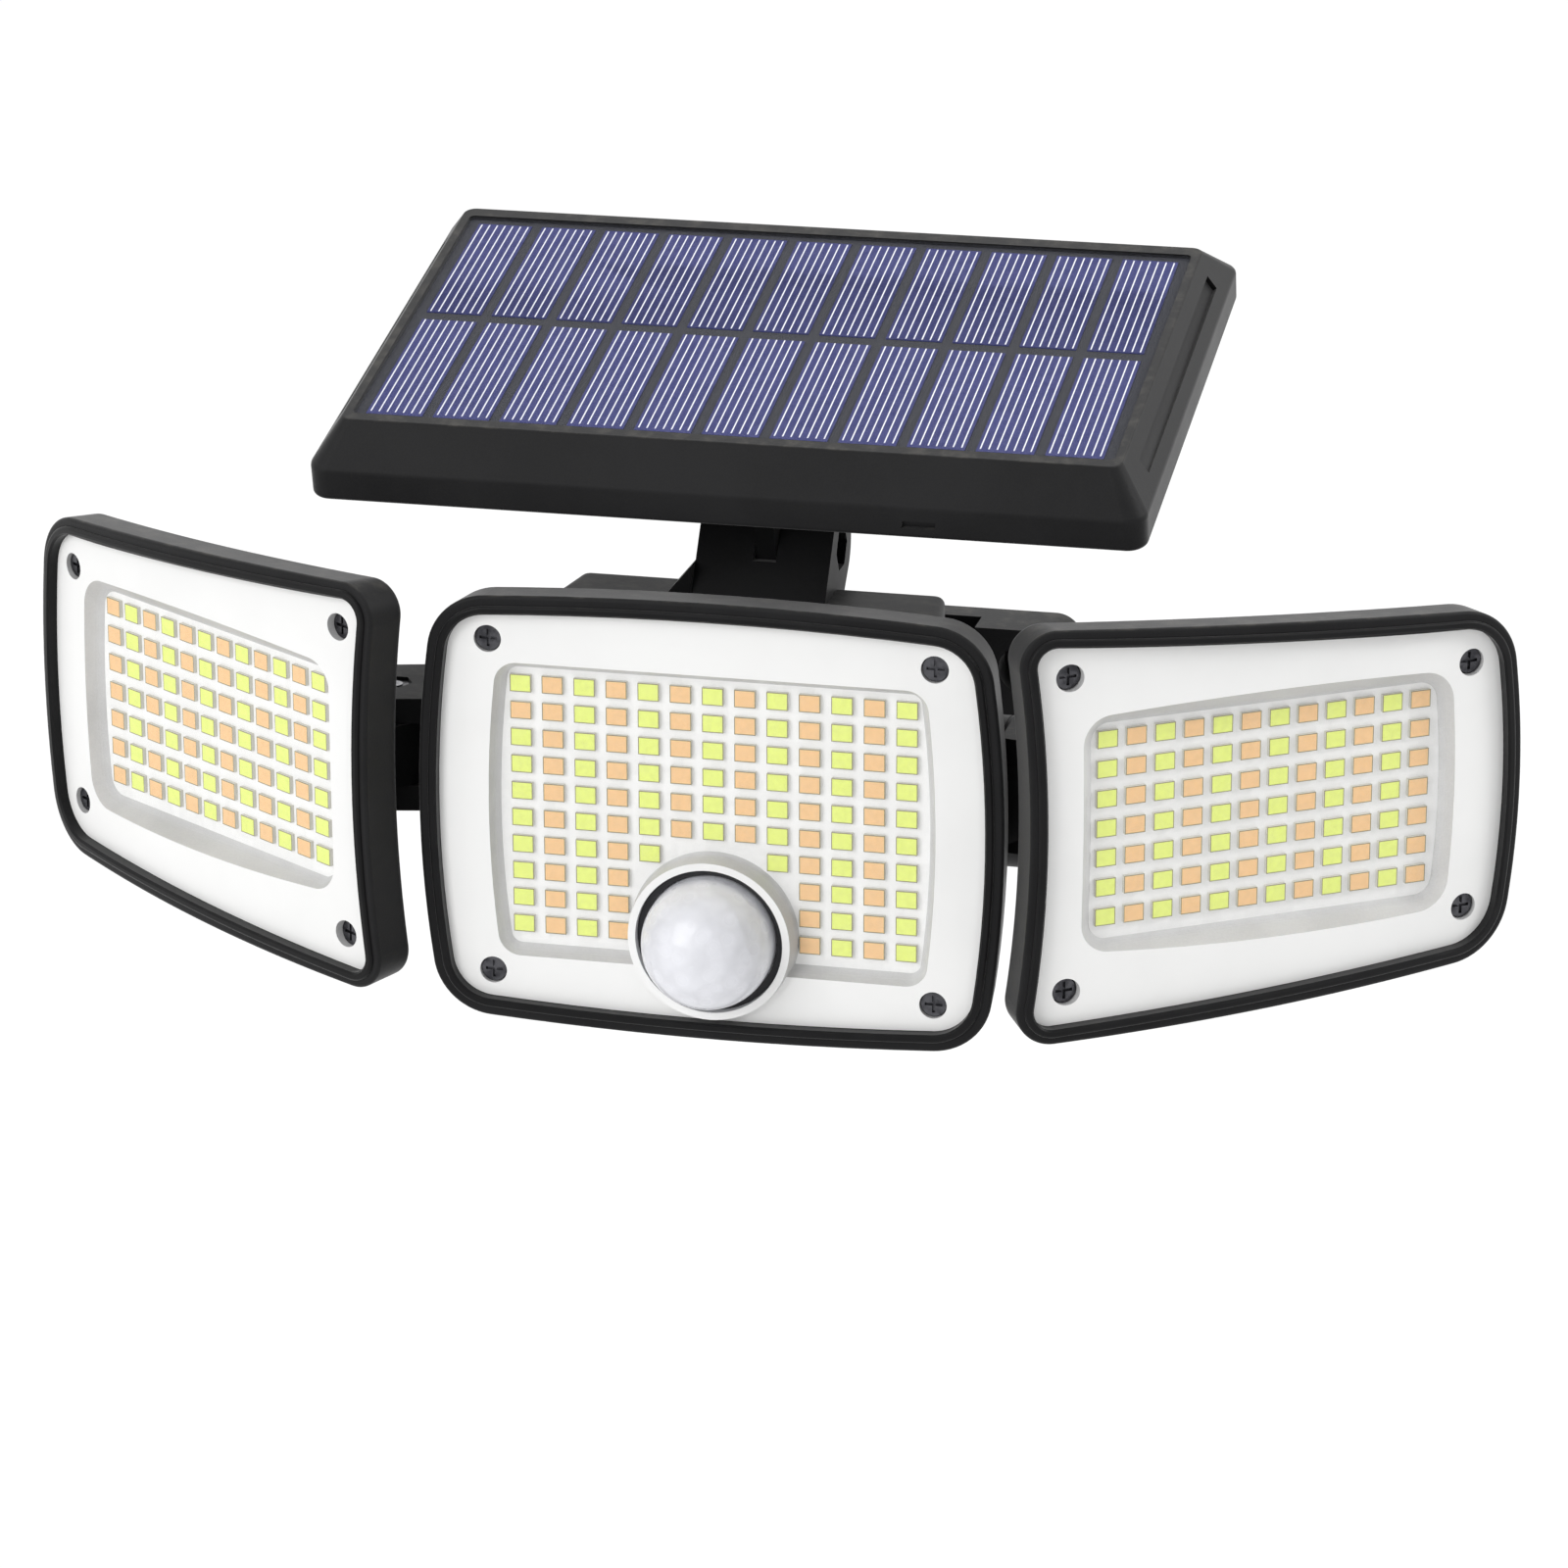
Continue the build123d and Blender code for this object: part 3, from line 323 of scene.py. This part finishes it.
def make_chip_outline():
    """Mask of the line round every lamp chip, on a grid in a head's own coordinates."""
    tree, given, made = new_group(
        "Chip outline",
        [("Vector", VECTOR), ("Pitch X", VALUE), ("Pitch Z", VALUE), ("Shift X", VALUE), ("Shift Z", VALUE),
         ("Half width", VALUE), ("Half height", VALUE), ("Line", VALUE)],
        [("Mask", VALUE), ("Bulge", VALUE)],
    )
    parts = axes(tree, given["Vector"])
    masks = []
    inside = []
    for axis, pitch, shift, half in (
        ("X", "Pitch X", "Shift X", "Half width"), ("Z", "Pitch Z", "Shift Z", "Half height")
    ):
        reach = maths(tree, "MULTIPLY", given[pitch], 0.5)
        back = maths(tree, "MULTIPLY", given[pitch], -0.5)
        place = maths(tree, "WRAP", maths(tree, "SUBTRACT", parts[axis], given[shift]), reach, back)
        away = maths(tree, "ABSOLUTE", place)
        edge = maths(tree, "SUBTRACT", given[half], given["Line"])
        masks.append(spread(tree, away, maths(tree, "SUBTRACT", edge, CHIP_LINE_BLUR), edge))
        inside.append(maths(tree, "DIVIDE", away, given[half]))
    feed(tree, made["Mask"], maths(tree, "MAXIMUM", *masks))
    feed(tree, made["Bulge"], maths(tree, "SUBTRACT", 1.0, maths(tree, "MAXIMUM", *inside)))


def make_plated_metal():
    """Zinc plating: fine brushed streaks and cloudy patches."""
    tree, given, made = new_group(
        "Plated metal",
        [("Vector", VECTOR), ("Colour", COLOUR), ("Dull", COLOUR), ("Roughness", VALUE)],
        [("Color", COLOUR), ("Roughness", VALUE), ("Height", VALUE)],
    )
    cloud = noise(tree, given["Vector"], 420.0, 4.0, 0.6)
    fine = noise(tree, given["Vector"], 5200.0, 2.0)
    feed(tree, made["Color"], blend(tree, spread(tree, cloud, 0.35, 0.7), given["Colour"], given["Dull"]))
    uneven = maths(tree, "MULTIPLY", maths(tree, "SUBTRACT", cloud, 0.5), 0.3)
    feed(tree, made["Roughness"], maths(tree, "ADD", given["Roughness"], uneven, clamp=True))
    feed(tree, made["Height"], fine)


def make_groups():
    """Build every shared effect once."""
    make_moulded_grain()
    make_dusting_and_top_light()
    make_sloping_walls()
    make_chip_outline()
    make_plated_metal()


def place_group(tree, name, **values):
    """Group node in a material, with its inputs fed; spaces in socket names are underscores here."""
    made = tree.nodes.new("ShaderNodeGroup")
    made.node_tree = bpy.data.node_groups[name]
    for label, value in values.items():
        feed(tree, made.inputs[label.replace("_", " ")], value)
    return made.outputs


# ------------------------------------------------------------------ materials
def new_material(name, **constants):
    """Material with one Principled shader and constant values on its own sockets."""
    material = bpy.data.materials.new(name)
    material.use_nodes = True
    tree = material.node_tree
    shader = tree.nodes["Principled BSDF"]
    for label, value in constants.items():
        shader.inputs[label.replace("_", " ")].default_value = value
    place = tree.nodes.new("ShaderNodeTexCoord")
    return material, tree, shader.inputs, place.outputs


def bump(tree, inputs, height, distance, strength=1.0):
    """Feed the shader's normal from a height in metres."""
    made = tree.nodes.new("ShaderNodeBump")
    made.inputs["Strength"].default_value = strength
    made.inputs["Distance"].default_value = distance
    feed(tree, made.inputs["Height"], height)
    feed(tree, inputs["Normal"], made.outputs["Normal"])


def head_place(tree, vector, origin, yaw):
    """Object coordinates turned into a head's own: X across its face, Z up it, Y into it."""
    made = tree.nodes.new("ShaderNodeMapping")
    made.vector_type = "TEXTURE"
    made.inputs["Location"].default_value = origin
    made.inputs["Rotation"].default_value = (0.0, 0.0, yaw)
    feed(tree, made.inputs["Vector"], vector)
    return made.outputs["Vector"]


def plastic_material(
    name, colour, mottle, roughness=0.5, grain=3200.0, depth=0.00004, dusting_and_top_light=0.22, specular=0.12
):
    """Moulded plastic with an eroded grain, and speckled lightening on what faces up: partly dusting, partly
    painted top light.
    """
    material, tree, inputs, place = new_material(
        name, Specular_IOR_Level=specular, Sheen_Weight=SHEEN, Sheen_Roughness=SHEEN_ROUGHNESS
    )
    grained = place_group(
        tree, "Moulded grain", Vector=place["Object"], Colour=opaque(colour), Mottle=opaque(mottle),
        Roughness=roughness, Scale=grain
    )
    # Upward faces lightened toward pale grey: painted top light, partly dusting
    dusty_and_top_lit = place_group(
        tree, "Settled dust", Vector=place["Object"], Normal=place["Normal"], Color=grained["Color"],
        Dust=opaque(tint(120, 116, 108)), Amount=dusting_and_top_light
    )
    feed(tree, inputs["Base Color"], dusty_and_top_lit["Color"])
    feed(tree, inputs["Roughness"], grained["Roughness"])
    bump(tree, inputs, grained["Height"], depth, 0.5)
    return material


def metal_material(name, colour, dull, roughness, metallic=1.0):
    """Plated metal."""
    material, tree, inputs, place = new_material(name, Metallic=metallic)
    plated = place_group(
        tree, "Plated metal", Vector=place["Object"], Colour=opaque(colour), Dull=opaque(dull),
        Roughness=roughness
    )
    feed(tree, inputs["Base Color"], plated["Color"])
    feed(tree, inputs["Roughness"], plated["Roughness"])
    bump(tree, inputs, plated["Height"], 0.00001, 0.6)
    return material


def faceplate_material(name, finish, front):
    """White plate, with painted shade on the recess walls: a grainy grey for the shade that falls in the
    recess.
    """
    material, tree, inputs, place = new_material(name, Specular_IOR_Level=0.4)
    slope = place_group(tree, "Sloping walls", Normal=place["Normal"], Front=front)["Mask"]
    # Recess walls get painted shade in grey; the grain on them is the moulding's own
    grained = place_group(
        tree, "Moulded grain", Vector=place["Object"], Colour=opaque(finish.bevel),
        Mottle=dimmed(finish.bevel, 0.86), Roughness=0.55, Scale=2600.0
    )
    broad = noise(tree, place["Object"], 45.0, 3.0)
    share = spread(tree, broad, 0.35, 0.75)
    plate = blend(tree, share, opaque(finish.white), dimmed(finish.white, 0.965))
    feed(tree, inputs["Base Color"], blend(tree, slope, plate, grained["Color"]))
    feed(tree, inputs["Roughness"], spread(tree, slope, 0.0, 1.0, 0.38, 0.6))
    bump(tree, inputs, maths(tree, "MULTIPLY", grained["Height"], slope), 0.00008, 0.6)
    return material


def chip_material(name, phosphor, finish, front, origin, yaw, pitch, shift):
    """Lamp chip: a phosphor pad with a thin dark line round it."""
    material, tree, inputs, place = new_material(
        name, Specular_IOR_Level=0.4, Coat_Weight=0.25, Coat_Roughness=0.25
    )
    local = head_place(tree, place["Object"], origin, yaw)
    line = place_group(
        tree, "Chip outline", Vector=local, Pitch_X=pitch[0], Pitch_Z=pitch[1], Shift_X=shift[0],
        Shift_Z=shift[1], Half_width=CHIP_HALF[0], Half_height=CHIP_HALF[1], Line=CHIP_LINE
    )
    uneven = spread(tree, noise(tree, local, 900.0, 2.0), 0.3, 0.75)
    pad = blend(tree, uneven, opaque(phosphor), dimmed(phosphor, 0.93))
    lined = blend(tree, line["Mask"], pad, opaque(finish.chip_edge))
    sides = place_group(tree, "Sloping walls", Normal=place["Normal"], Front=front)["Mask"]
    feed(tree, inputs["Base Color"], blend(tree, sides, lined, opaque(finish.chip_side)))
    feed(tree, inputs["Roughness"], spread(tree, uneven, 0.0, 1.0, 0.35, 0.5))
    bump(tree, inputs, line["Bulge"], 0.00005, 0.3)
    return material


def board_material(name, colour, track, scale=380.0):
    """Circuit board: solder mask over faint copper tracks."""
    material, tree, inputs, place = new_material(name, Coat_Weight=0.3, Coat_Roughness=0.2)
    cells = tree.nodes.new("ShaderNodeTexVoronoi")
    cells.distance = "CHEBYCHEV"
    cells.feature = "F1"
    feed(tree, cells.inputs["Vector"], place["Object"])
    cells.inputs["Scale"].default_value = scale
    tracks = spread(tree, cells.outputs["Distance"], 0.36, 0.42)
    feed(tree, inputs["Base Color"], blend(tree, tracks, opaque(colour), opaque(track)))
    feed(tree, inputs["Roughness"], spread(tree, tracks, 0.0, 1.0, 0.42, 0.34))
    bump(tree, inputs, tracks, 0.00003, 0.5)
    return material


def clear_material(name, colour, haze, front, ripple=0.00001):
    """Clear cover that shows only as a faint haze on its front, and not at all on its edges."""
    material, tree, inputs, place = new_material(name, Roughness=0.06, Specular_IOR_Level=0.5, IOR=1.49)
    wave = noise(tree, place["Object"], 35.0, 2.0)
    feed(tree, inputs["Base Color"], blend(tree, wave, opaque(colour), dimmed(colour, 0.93)))
    film = spread(tree, noise(tree, place["Object"], 700.0, 3.0), 0.3, 0.8, haze, 1.5 * haze)
    slope = place_group(tree, "Sloping walls", Normal=place["Normal"], Front=front)["Mask"]
    faces = maths(tree, "SUBTRACT", 1.0, slope)
    feed(tree, inputs["Alpha"], maths(tree, "MULTIPLY", film, faces, clamp=True))
    bump(tree, inputs, wave, ripple, 0.5)
    return material


def dome_material(name, finish):
    """Milky lens with soft facets showing through."""
    material, tree, inputs, place = new_material(
        name, Roughness=0.3, Specular_IOR_Level=0.5, Coat_Weight=0.4, Coat_Roughness=0.12
    )
    local = head_place(tree, place["Object"], SENSOR_ORIGIN, 0.0)
    facets = tree.nodes.new("ShaderNodeTexVoronoi")
    facets.feature = "SMOOTH_F1"
    feed(tree, facets.inputs["Vector"], local)
    facets.inputs["Scale"].default_value = 330.0
    facets.inputs["Smoothness"].default_value = 0.35
    tone = spread(tree, facets.outputs["Distance"], 0.15, 0.8)
    cloud = spread(tree, noise(tree, local, 190.0, 4.0), 0.35, 0.7)
    share = maths(tree, "MULTIPLY", maths(tree, "ADD", tone, cloud), 0.5, clamp=True)
    feed(tree, inputs["Base Color"], blend(tree, share, opaque(finish.dome), dimmed(finish.dome, 0.86)))
    feed(tree, inputs["Roughness"], spread(tree, tone, 0.0, 1.0, 0.26, 0.42))
    bump(tree, inputs, tone, 0.0002, 0.5)
    return material


def cell_material(name, finish):
    """Polycrystalline silicon: blue with darker grains."""
    material, tree, inputs, place = new_material(name, Specular_IOR_Level=0.12, Roughness=0.4)
    crystals = tree.nodes.new("ShaderNodeTexVoronoi")
    feed(tree, crystals.inputs["Vector"], place["Object"])
    crystals.inputs["Scale"].default_value = 520.0
    shade = axes(tree, crystals.outputs["Color"])["X"]
    broad = noise(tree, place["Object"], 40.0, 2.0)
    share = maths(tree, "MULTIPLY", maths(tree, "ADD", shade, broad), 0.5, clamp=True)
    feed(tree, inputs["Base Color"], blend(tree, share, opaque(finish.cell), opaque(finish.cell_deep)))
    feed(tree, inputs["Roughness"], spread(tree, shade, 0.0, 1.0, 0.32, 0.45))
    return material


def finger_material(name, finish):
    """Printed silver."""
    material, tree, inputs, place = new_material(name, Metallic=0.15, Specular_IOR_Level=0.5)
    grains = noise(tree, place["Object"], 4000.0, 2.0)
    feed(tree, inputs["Base Color"], blend(tree, grains, opaque(finish.finger), dimmed(finish.finger, 0.85)))
    feed(tree, inputs["Roughness"], spread(tree, grains, 0.3, 0.7, 0.35, 0.55))
    return material


def wrap_material(name, sleeve, metal):
    """Battery: a plain sleeve with bare metal ends."""
    material, tree, inputs, place = new_material(name, Specular_IOR_Level=0.5)
    ends = maths(tree, "ABSOLUTE", axes(tree, place["Normal"])["X"])
    bare = spread(tree, ends, 0.85, 0.97)
    wrinkle = noise(tree, place["Object"], 240.0, 4.0)
    dull = blend(tree, wrinkle, opaque(sleeve), dimmed(sleeve, 0.8))
    feed(tree, inputs["Base Color"], blend(tree, bare, dull, opaque(metal)))
    feed(tree, inputs["Metallic"], bare)
    feed(tree, inputs["Roughness"], spread(tree, wrinkle, 0.2, 0.8, 0.25, 0.4))
    bump(tree, inputs, wrinkle, 0.0001, 0.4)
    return material


def dress(material, *names):
    """Give CAD nodes a material."""
    for name in names:
        for material_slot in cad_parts[name].material_slots:
            material_slot.material = material


# ------------------------------------------------------------------ operators
class SECURITYLIGHT_OT_housings(bpy.types.Operator):
    """Charcoal plastic on the housings, casings, arms and bracket, and rubber on the seals"""

    bl_idname = "securitylight.housings"
    bl_label = "Housings"

    def execute(self, context):
        finish = context.scene.light_finish
        shell = plastic_material("charcoal_plastic", finish.plastic, finish.plastic_worn)
        bracket = plastic_material(
            "bracket_plastic", finish.plastic, finish.plastic_worn, roughness=0.55, grain=2400.0,
            depth=0.00006
        )
        rubber = plastic_material(
            "seal_rubber", finish.rubber, finish.plastic, roughness=0.42, grain=5200.0, depth=0.00001,
            dusting_and_top_light=0.04
        )
        dress(shell, "battery_housing", "centre_casing", "panel_housing", "panel_base")
        dress(bracket, "wall_plate", "mount_arm")
        dress(rubber, "centre_gasket", "power_button")
        for side in ("right_", "left_"):
            dress(shell, side + "casing", side + "knuckle", side + "arm")
            dress(rubber, side + "gasket")
        return {"FINISHED"}


class SECURITYLIGHT_OT_faceplates(bpy.types.Operator):
    """White plates of the three lamp heads, with painted shade in grainy grey on the recess walls"""

    bl_idname = "securitylight.faceplates"
    bl_label = "Faceplates"

    def execute(self, context):
        finish = context.scene.light_finish
        for head, front in HEAD_FRONTS.items():
            dress(faceplate_material(head + "white", finish, front), head + "faceplate")
        return {"FINISHED"}


class SECURITYLIGHT_OT_lamps(bpy.types.Operator):
    """Lamp boards and their cool and warm chips"""

    bl_idname = "securitylight.lamps"
    bl_label = "Lamp boards and chips"

    def execute(self, context):
        finish = context.scene.light_finish
        board = board_material("lamp_board", finish.lamp_board, dimmed(finish.lamp_board, 0.965), 160.0)
        half = SIDE_PITCH[0] / 2
        heads = (
            ("centre_", CENTRE_ORIGIN, 0.0, CENTRE_PITCH, (0.0, CENTRE_PITCH[1] / 2)),
            ("right_", HEAD_ORIGIN, HEAD_YAW, SIDE_PITCH, (half, 0.0)),
            ("left_", (-HEAD_ORIGIN[0], *HEAD_ORIGIN[1:]), -HEAD_YAW, SIDE_PITCH, (half, 0.0)),
        )
        for head, origin, yaw, pitch, shift in heads:
            dress(board, head + "led_board")
            for kind, phosphor in (("cool", finish.cool), ("warm", finish.warm)):
                chips = chip_material(
                    head + kind + "_chip", phosphor, finish, HEAD_FRONTS[head], origin, yaw, pitch, shift
                )
                dress(chips, head + kind + "_leds")
        return {"FINISHED"}


class SECURITYLIGHT_OT_windows(bpy.types.Operator):
    """Clear windows over the lamp boards"""

    bl_idname = "securitylight.windows"
    bl_label = "Windows"

    def execute(self, context):
        for head, front in HEAD_FRONTS.items():
            clear = clear_material(head + "clear", tint(250, 250, 250), WINDOW_HAZE, front)
            dress(clear, head + "window")
            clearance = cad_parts[head + "window"].modifiers.new("clearance", "DISPLACE")
            clearance.mid_level = 0.0
            clearance.strength = -WINDOW_GAP
        return {"FINISHED"}


class SECURITYLIGHT_OT_sensor(bpy.types.Operator):
    """Milky dome, its dark holder, and the sensor behind it"""

    bl_idname = "securitylight.sensor"
    bl_label = "Motion sensor"

    def execute(self, context):
        finish = context.scene.light_finish
        dress(dome_material("sensor_dome", finish), "sensor_lens")
        dress(plastic_material("holder_plastic", finish.holder, finish.holder, 0.5), "sensor_holder")
        dress(board_material("sensor_board", tint(20, 74, 44), tint(30, 96, 58)), "sensor_board")
        dress(metal_material("sensor_can", tint(190, 188, 182), tint(150, 149, 145), 0.32), "motion_sensor")
        return {"FINISHED"}


class SECURITYLIGHT_OT_fasteners(bpy.types.Operator):
    """Black screws, and plated bolts and nuts"""

    bl_idname = "securitylight.fasteners"
    bl_label = "Fasteners"

    def execute(self, context):
        black = metal_material("black_screw", tint(84, 84, 88), tint(48, 48, 52), 0.26, 0.8)
        steel = metal_material("plated_steel", tint(176, 176, 178), tint(132, 132, 136), 0.34)
        dress(black, "centre_screws", "right_screws", "left_screws", "base_screws")
        dress(black, "mount_screws", "lock_screw", "tilt_bolt", "tilt_nut")
        for side in ("right_", "left_"):
            dress(steel, side + "pitch_bolt", side + "pitch_nut", side + "yaw_bolt")
            dress(black, side + "yaw_nut")
        return {"FINISHED"}


class SECURITYLIGHT_OT_inside(bpy.types.Operator):
    """Batteries, cradle, control board and switch inside the housing"""

    bl_idname = "securitylight.inside"
    bl_label = "Inside"

    def execute(self, context):
        finish = context.scene.light_finish
        sleeve = wrap_material("battery_sleeve", tint(36, 84, 160), tint(196, 196, 200))
        dress(sleeve, "battery_upper", "battery_lower")
        cradle = plastic_material("cradle_plastic", finish.rubber, finish.plastic, roughness=0.6)
        dress(cradle, "battery_cradle")
        dress(board_material("control_board", tint(22, 82, 48), tint(34, 108, 64)), "control_board")
        switch = plastic_material("switch_plastic", tint(70, 70, 72), tint(84, 84, 86), roughness=0.45)
        dress(switch, "button_switch")
        return {"FINISHED"}


class SECURITYLIGHT_OT_solar_panel(bpy.types.Operator):
    """Solar board, its blue cells and the clear resin over them"""

    bl_idname = "securitylight.solar_panel"
    bl_label = "Solar panel"

    def execute(self, context):
        finish = context.scene.light_finish
        backing = plastic_material(
            "solar_backing", tint(26, 27, 32), tint(33, 34, 40), roughness=0.6, grain=3000.0, depth=0.00003,
            dusting_and_top_light=0.0, specular=0.08
        )
        dress(backing, "solar_board")
        dress(cell_material("silicon", finish), "solar_cells")
        resin = clear_material("clear_resin", tint(205, 210, 230), RESIN_HAZE, PANEL_UP, ripple=0.00002)
        dress(resin, "solar_glaze")
        return {"FINISHED"}


class SECURITYLIGHT_OT_fingers(bpy.types.Operator):
    """Silver fingers printed on the solar cells, and the test pads along the front"""

    bl_idname = "securitylight.fingers"
    bl_label = "Cell fingers"

    def execute(self, context):
        sizes = context.scene.light_cells
        silver = finger_material("printed_silver", context.scene.light_finish)
        middle_height = CELL_FACE + sizes.height / 2
        strips = bmesh.new()
        pads = bmesh.new()
        for column in range(sizes.columns):
            middle = (column - (sizes.columns - 1) / 2) * CELL_PITCH
            for line in range(sizes.fingers):
                x = middle + (line - (sizes.fingers - 1) / 2) * sizes.spacing
                for low, high in CELL_ROWS:
                    place = PANEL_MATRIX @ Matrix.Translation((x, (low + high) / 2, middle_height))
                    scale = Matrix.Diagonal((sizes.width, high - low, sizes.height, 1.0))
                    bmesh.ops.create_cube(strips, size=1.0, matrix=place @ scale)
                place = PANEL_MATRIX @ Matrix.Translation((x, sizes.pad_row, middle_height))
                bmesh.ops.create_cone(
                    pads, cap_ends=True, segments=PAD_SIDES, radius1=sizes.pad / 2,
                    radius2=0.4 * sizes.pad, depth=sizes.height, matrix=place
                )
        for name, made in (("cell_fingers", strips), ("test_pads", pads)):
            piece = new_piece(name, made, silver, "panel")
        return {"FINISHED"}


class SECURITYLIGHT_OT_stage(bpy.types.Operator):
    """Pale floor, even sky, soft lamps and the camera"""

    bl_idname = "securitylight.stage"
    bl_label = "Stage"

    def execute(self, context):
        stage = context.scene.light_stage
        lay_floor(context, stage)
        light_sky(context, stage)
        target = Vector(stage.target)
        for name, place, width in LAMPS:
            lamp = bpy.data.lights.new(name + "_lamp", "AREA")
            lamp.shape = "SQUARE"
            lamp.size = width
            lamp.energy = getattr(stage, name)
            stand = bpy.data.objects.new(name + "_lamp", lamp)
            stand.location = place
            stand.rotation_euler = (target - Vector(place)).to_track_quat("-Z", "Y").to_euler()
            context.scene.collection.objects.link(stand)
        aim_camera(context, stage, target)
        context.scene.view_settings.view_transform = "Standard"
        return {"FINISHED"}


def new_piece(name, made, material, body):
    """Finish a bmesh as a piece of the light that rides on one of its bodies."""
    bmesh.ops.recalc_face_normals(made, faces=made.faces)
    mesh = bpy.data.meshes.new(name)
    made.to_mesh(mesh)
    made.free()
    mesh.materials.append(material)
    piece = bpy.data.objects.new(name, mesh)
    bpy.context.scene.collection.objects.link(piece)
    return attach(piece, body)


def backdrop_rays(tree):
    """Share of rays that should see the plain pale backdrop."""
    path = tree.nodes.new("ShaderNodeLightPath").outputs
    seen = maths(tree, "MAXIMUM", path["Is Camera Ray"], path["Is Glossy Ray"])
    return maths(tree, "MAXIMUM", seen, path["Is Transmission Ray"])


def lay_floor(context, stage):
    """Pale floor that keeps a soft shadow."""
    made = bmesh.new()
    low = CAD_BOX[0].z - stage.floor_drop
    level = Matrix.Translation((0.0, 0.0, low))
    bmesh.ops.create_grid(made, x_segments=1, y_segments=1, size=stage.floor_size / 2, matrix=level)
    mesh = bpy.data.meshes.new("floor")
    made.to_mesh(mesh)
    made.free()
    floor = bpy.data.objects.new("floor", mesh)
    context.scene.collection.objects.link(floor)
    material, tree, inputs, place = new_material("pale_floor", Roughness=0.9, Specular_IOR_Level=0.0)
    drift = noise(tree, place["Object"], 3.0, 2.0)
    pale = blend(tree, drift, opaque(tint(236, 236, 236)), opaque(tint(232, 232, 232)))
    feed(tree, inputs["Base Color"], pale)
    glow = tree.nodes.new("ShaderNodeEmission")
    glow.inputs["Strength"].default_value = FLOOR_GLOW
    mixed = tree.nodes.new("ShaderNodeMixShader")
    feed(tree, mixed.inputs[0], maths(tree, "MULTIPLY", backdrop_rays(tree), FLOOR_GLOW_SHARE))
    feed(tree, mixed.inputs[1], tree.nodes["Principled BSDF"].outputs[0])
    feed(tree, mixed.inputs[2], glow.outputs[0])
    feed(tree, tree.nodes["Material Output"].inputs["Surface"], mixed.outputs[0])
    mesh.materials.append(material)


def light_sky(context, stage):
    """Even studio light, seen as a white backdrop."""
    world = bpy.data.worlds.new("studio")
    world.use_nodes = True
    tree = world.node_tree
    sky = tree.nodes["Background"].inputs
    sky["Color"].default_value = (1.0, 1.0, 1.0, 1.0)
    lift = maths(tree, "MULTIPLY", backdrop_rays(tree), 1.0 - stage.sky)
    feed(tree, sky["Strength"], maths(tree, "ADD", lift, stage.sky))
    context.scene.world = world


def aim_camera(context, stage, target):
    """Camera at the photograph's angle."""
    level = cos(stage.elevation)
    back = Vector((sin(stage.azimuth) * level, -cos(stage.azimuth) * level, sin(stage.elevation)))
    lens = bpy.data.cameras.new("camera")
    lens.lens = stage.focal
    lens.sensor_width = FILM_WIDTH
    lens.clip_start = CLIP_NEAR
    lens.clip_end = CLIP_FAR
    camera = bpy.data.objects.new("camera", lens)
    camera.location = target + stage.distance * back
    level_view = (-back).to_track_quat("-Z", "Y").to_matrix()
    camera.rotation_euler = (level_view @ Matrix.Rotation(stage.roll, 3, "Z")).to_euler()
    context.scene.collection.objects.link(camera)
    context.scene.camera = camera


OPERATORS = (
    SECURITYLIGHT_OT_stage,
    SECURITYLIGHT_OT_housings,
    SECURITYLIGHT_OT_faceplates,
    SECURITYLIGHT_OT_lamps,
    SECURITYLIGHT_OT_windows,
    SECURITYLIGHT_OT_sensor,
    SECURITYLIGHT_OT_fasteners,
    SECURITYLIGHT_OT_inside,
    SECURITYLIGHT_OT_solar_panel,
    SECURITYLIGHT_OT_fingers,
)


class SECURITYLIGHT_PT_sidebar(bpy.types.Panel):
    """Steps and settings of the security light"""

    bl_idname = "SECURITYLIGHT_PT_sidebar"
    bl_label = "Security Light"
    bl_space_type = "VIEW_3D"
    bl_region_type = "UI"
    bl_category = "Security Light"

    def draw(self, context):
        for settings in (context.scene.light_finish, context.scene.light_cells, context.scene.light_stage):
            box = self.layout.box()
            for label in settings.__annotations__:
                box.prop(settings, label)
        for operator in OPERATORS:
            self.layout.operator(operator.bl_idname)


SETTINGS = {"light_finish": FinishSettings, "light_cells": CellSettings, "light_stage": StageSettings}
CLASSES = (*SETTINGS.values(), *OPERATORS, SECURITYLIGHT_PT_sidebar)


def register():
    for made in CLASSES:
        bpy.utils.register_class(made)
    for name, settings in SETTINGS.items():
        setattr(bpy.types.Scene, name, PointerProperty(type=settings))


def unregister():
    for name in SETTINGS:
        delattr(bpy.types.Scene, name)
    for made in reversed(CLASSES):
        bpy.utils.unregister_class(made)


def main():
    """Dress the light and light the stage."""
    register()
    make_groups()
    bpy.ops.securitylight.stage()
    bpy.ops.securitylight.housings()
    bpy.ops.securitylight.faceplates()
    bpy.ops.securitylight.lamps()
    bpy.ops.securitylight.windows()
    bpy.ops.securitylight.sensor()
    bpy.ops.securitylight.fasteners()
    bpy.ops.securitylight.inside()
    bpy.ops.securitylight.solar_panel()
    bpy.ops.securitylight.fingers()


if __name__ == "__main__":
    main()
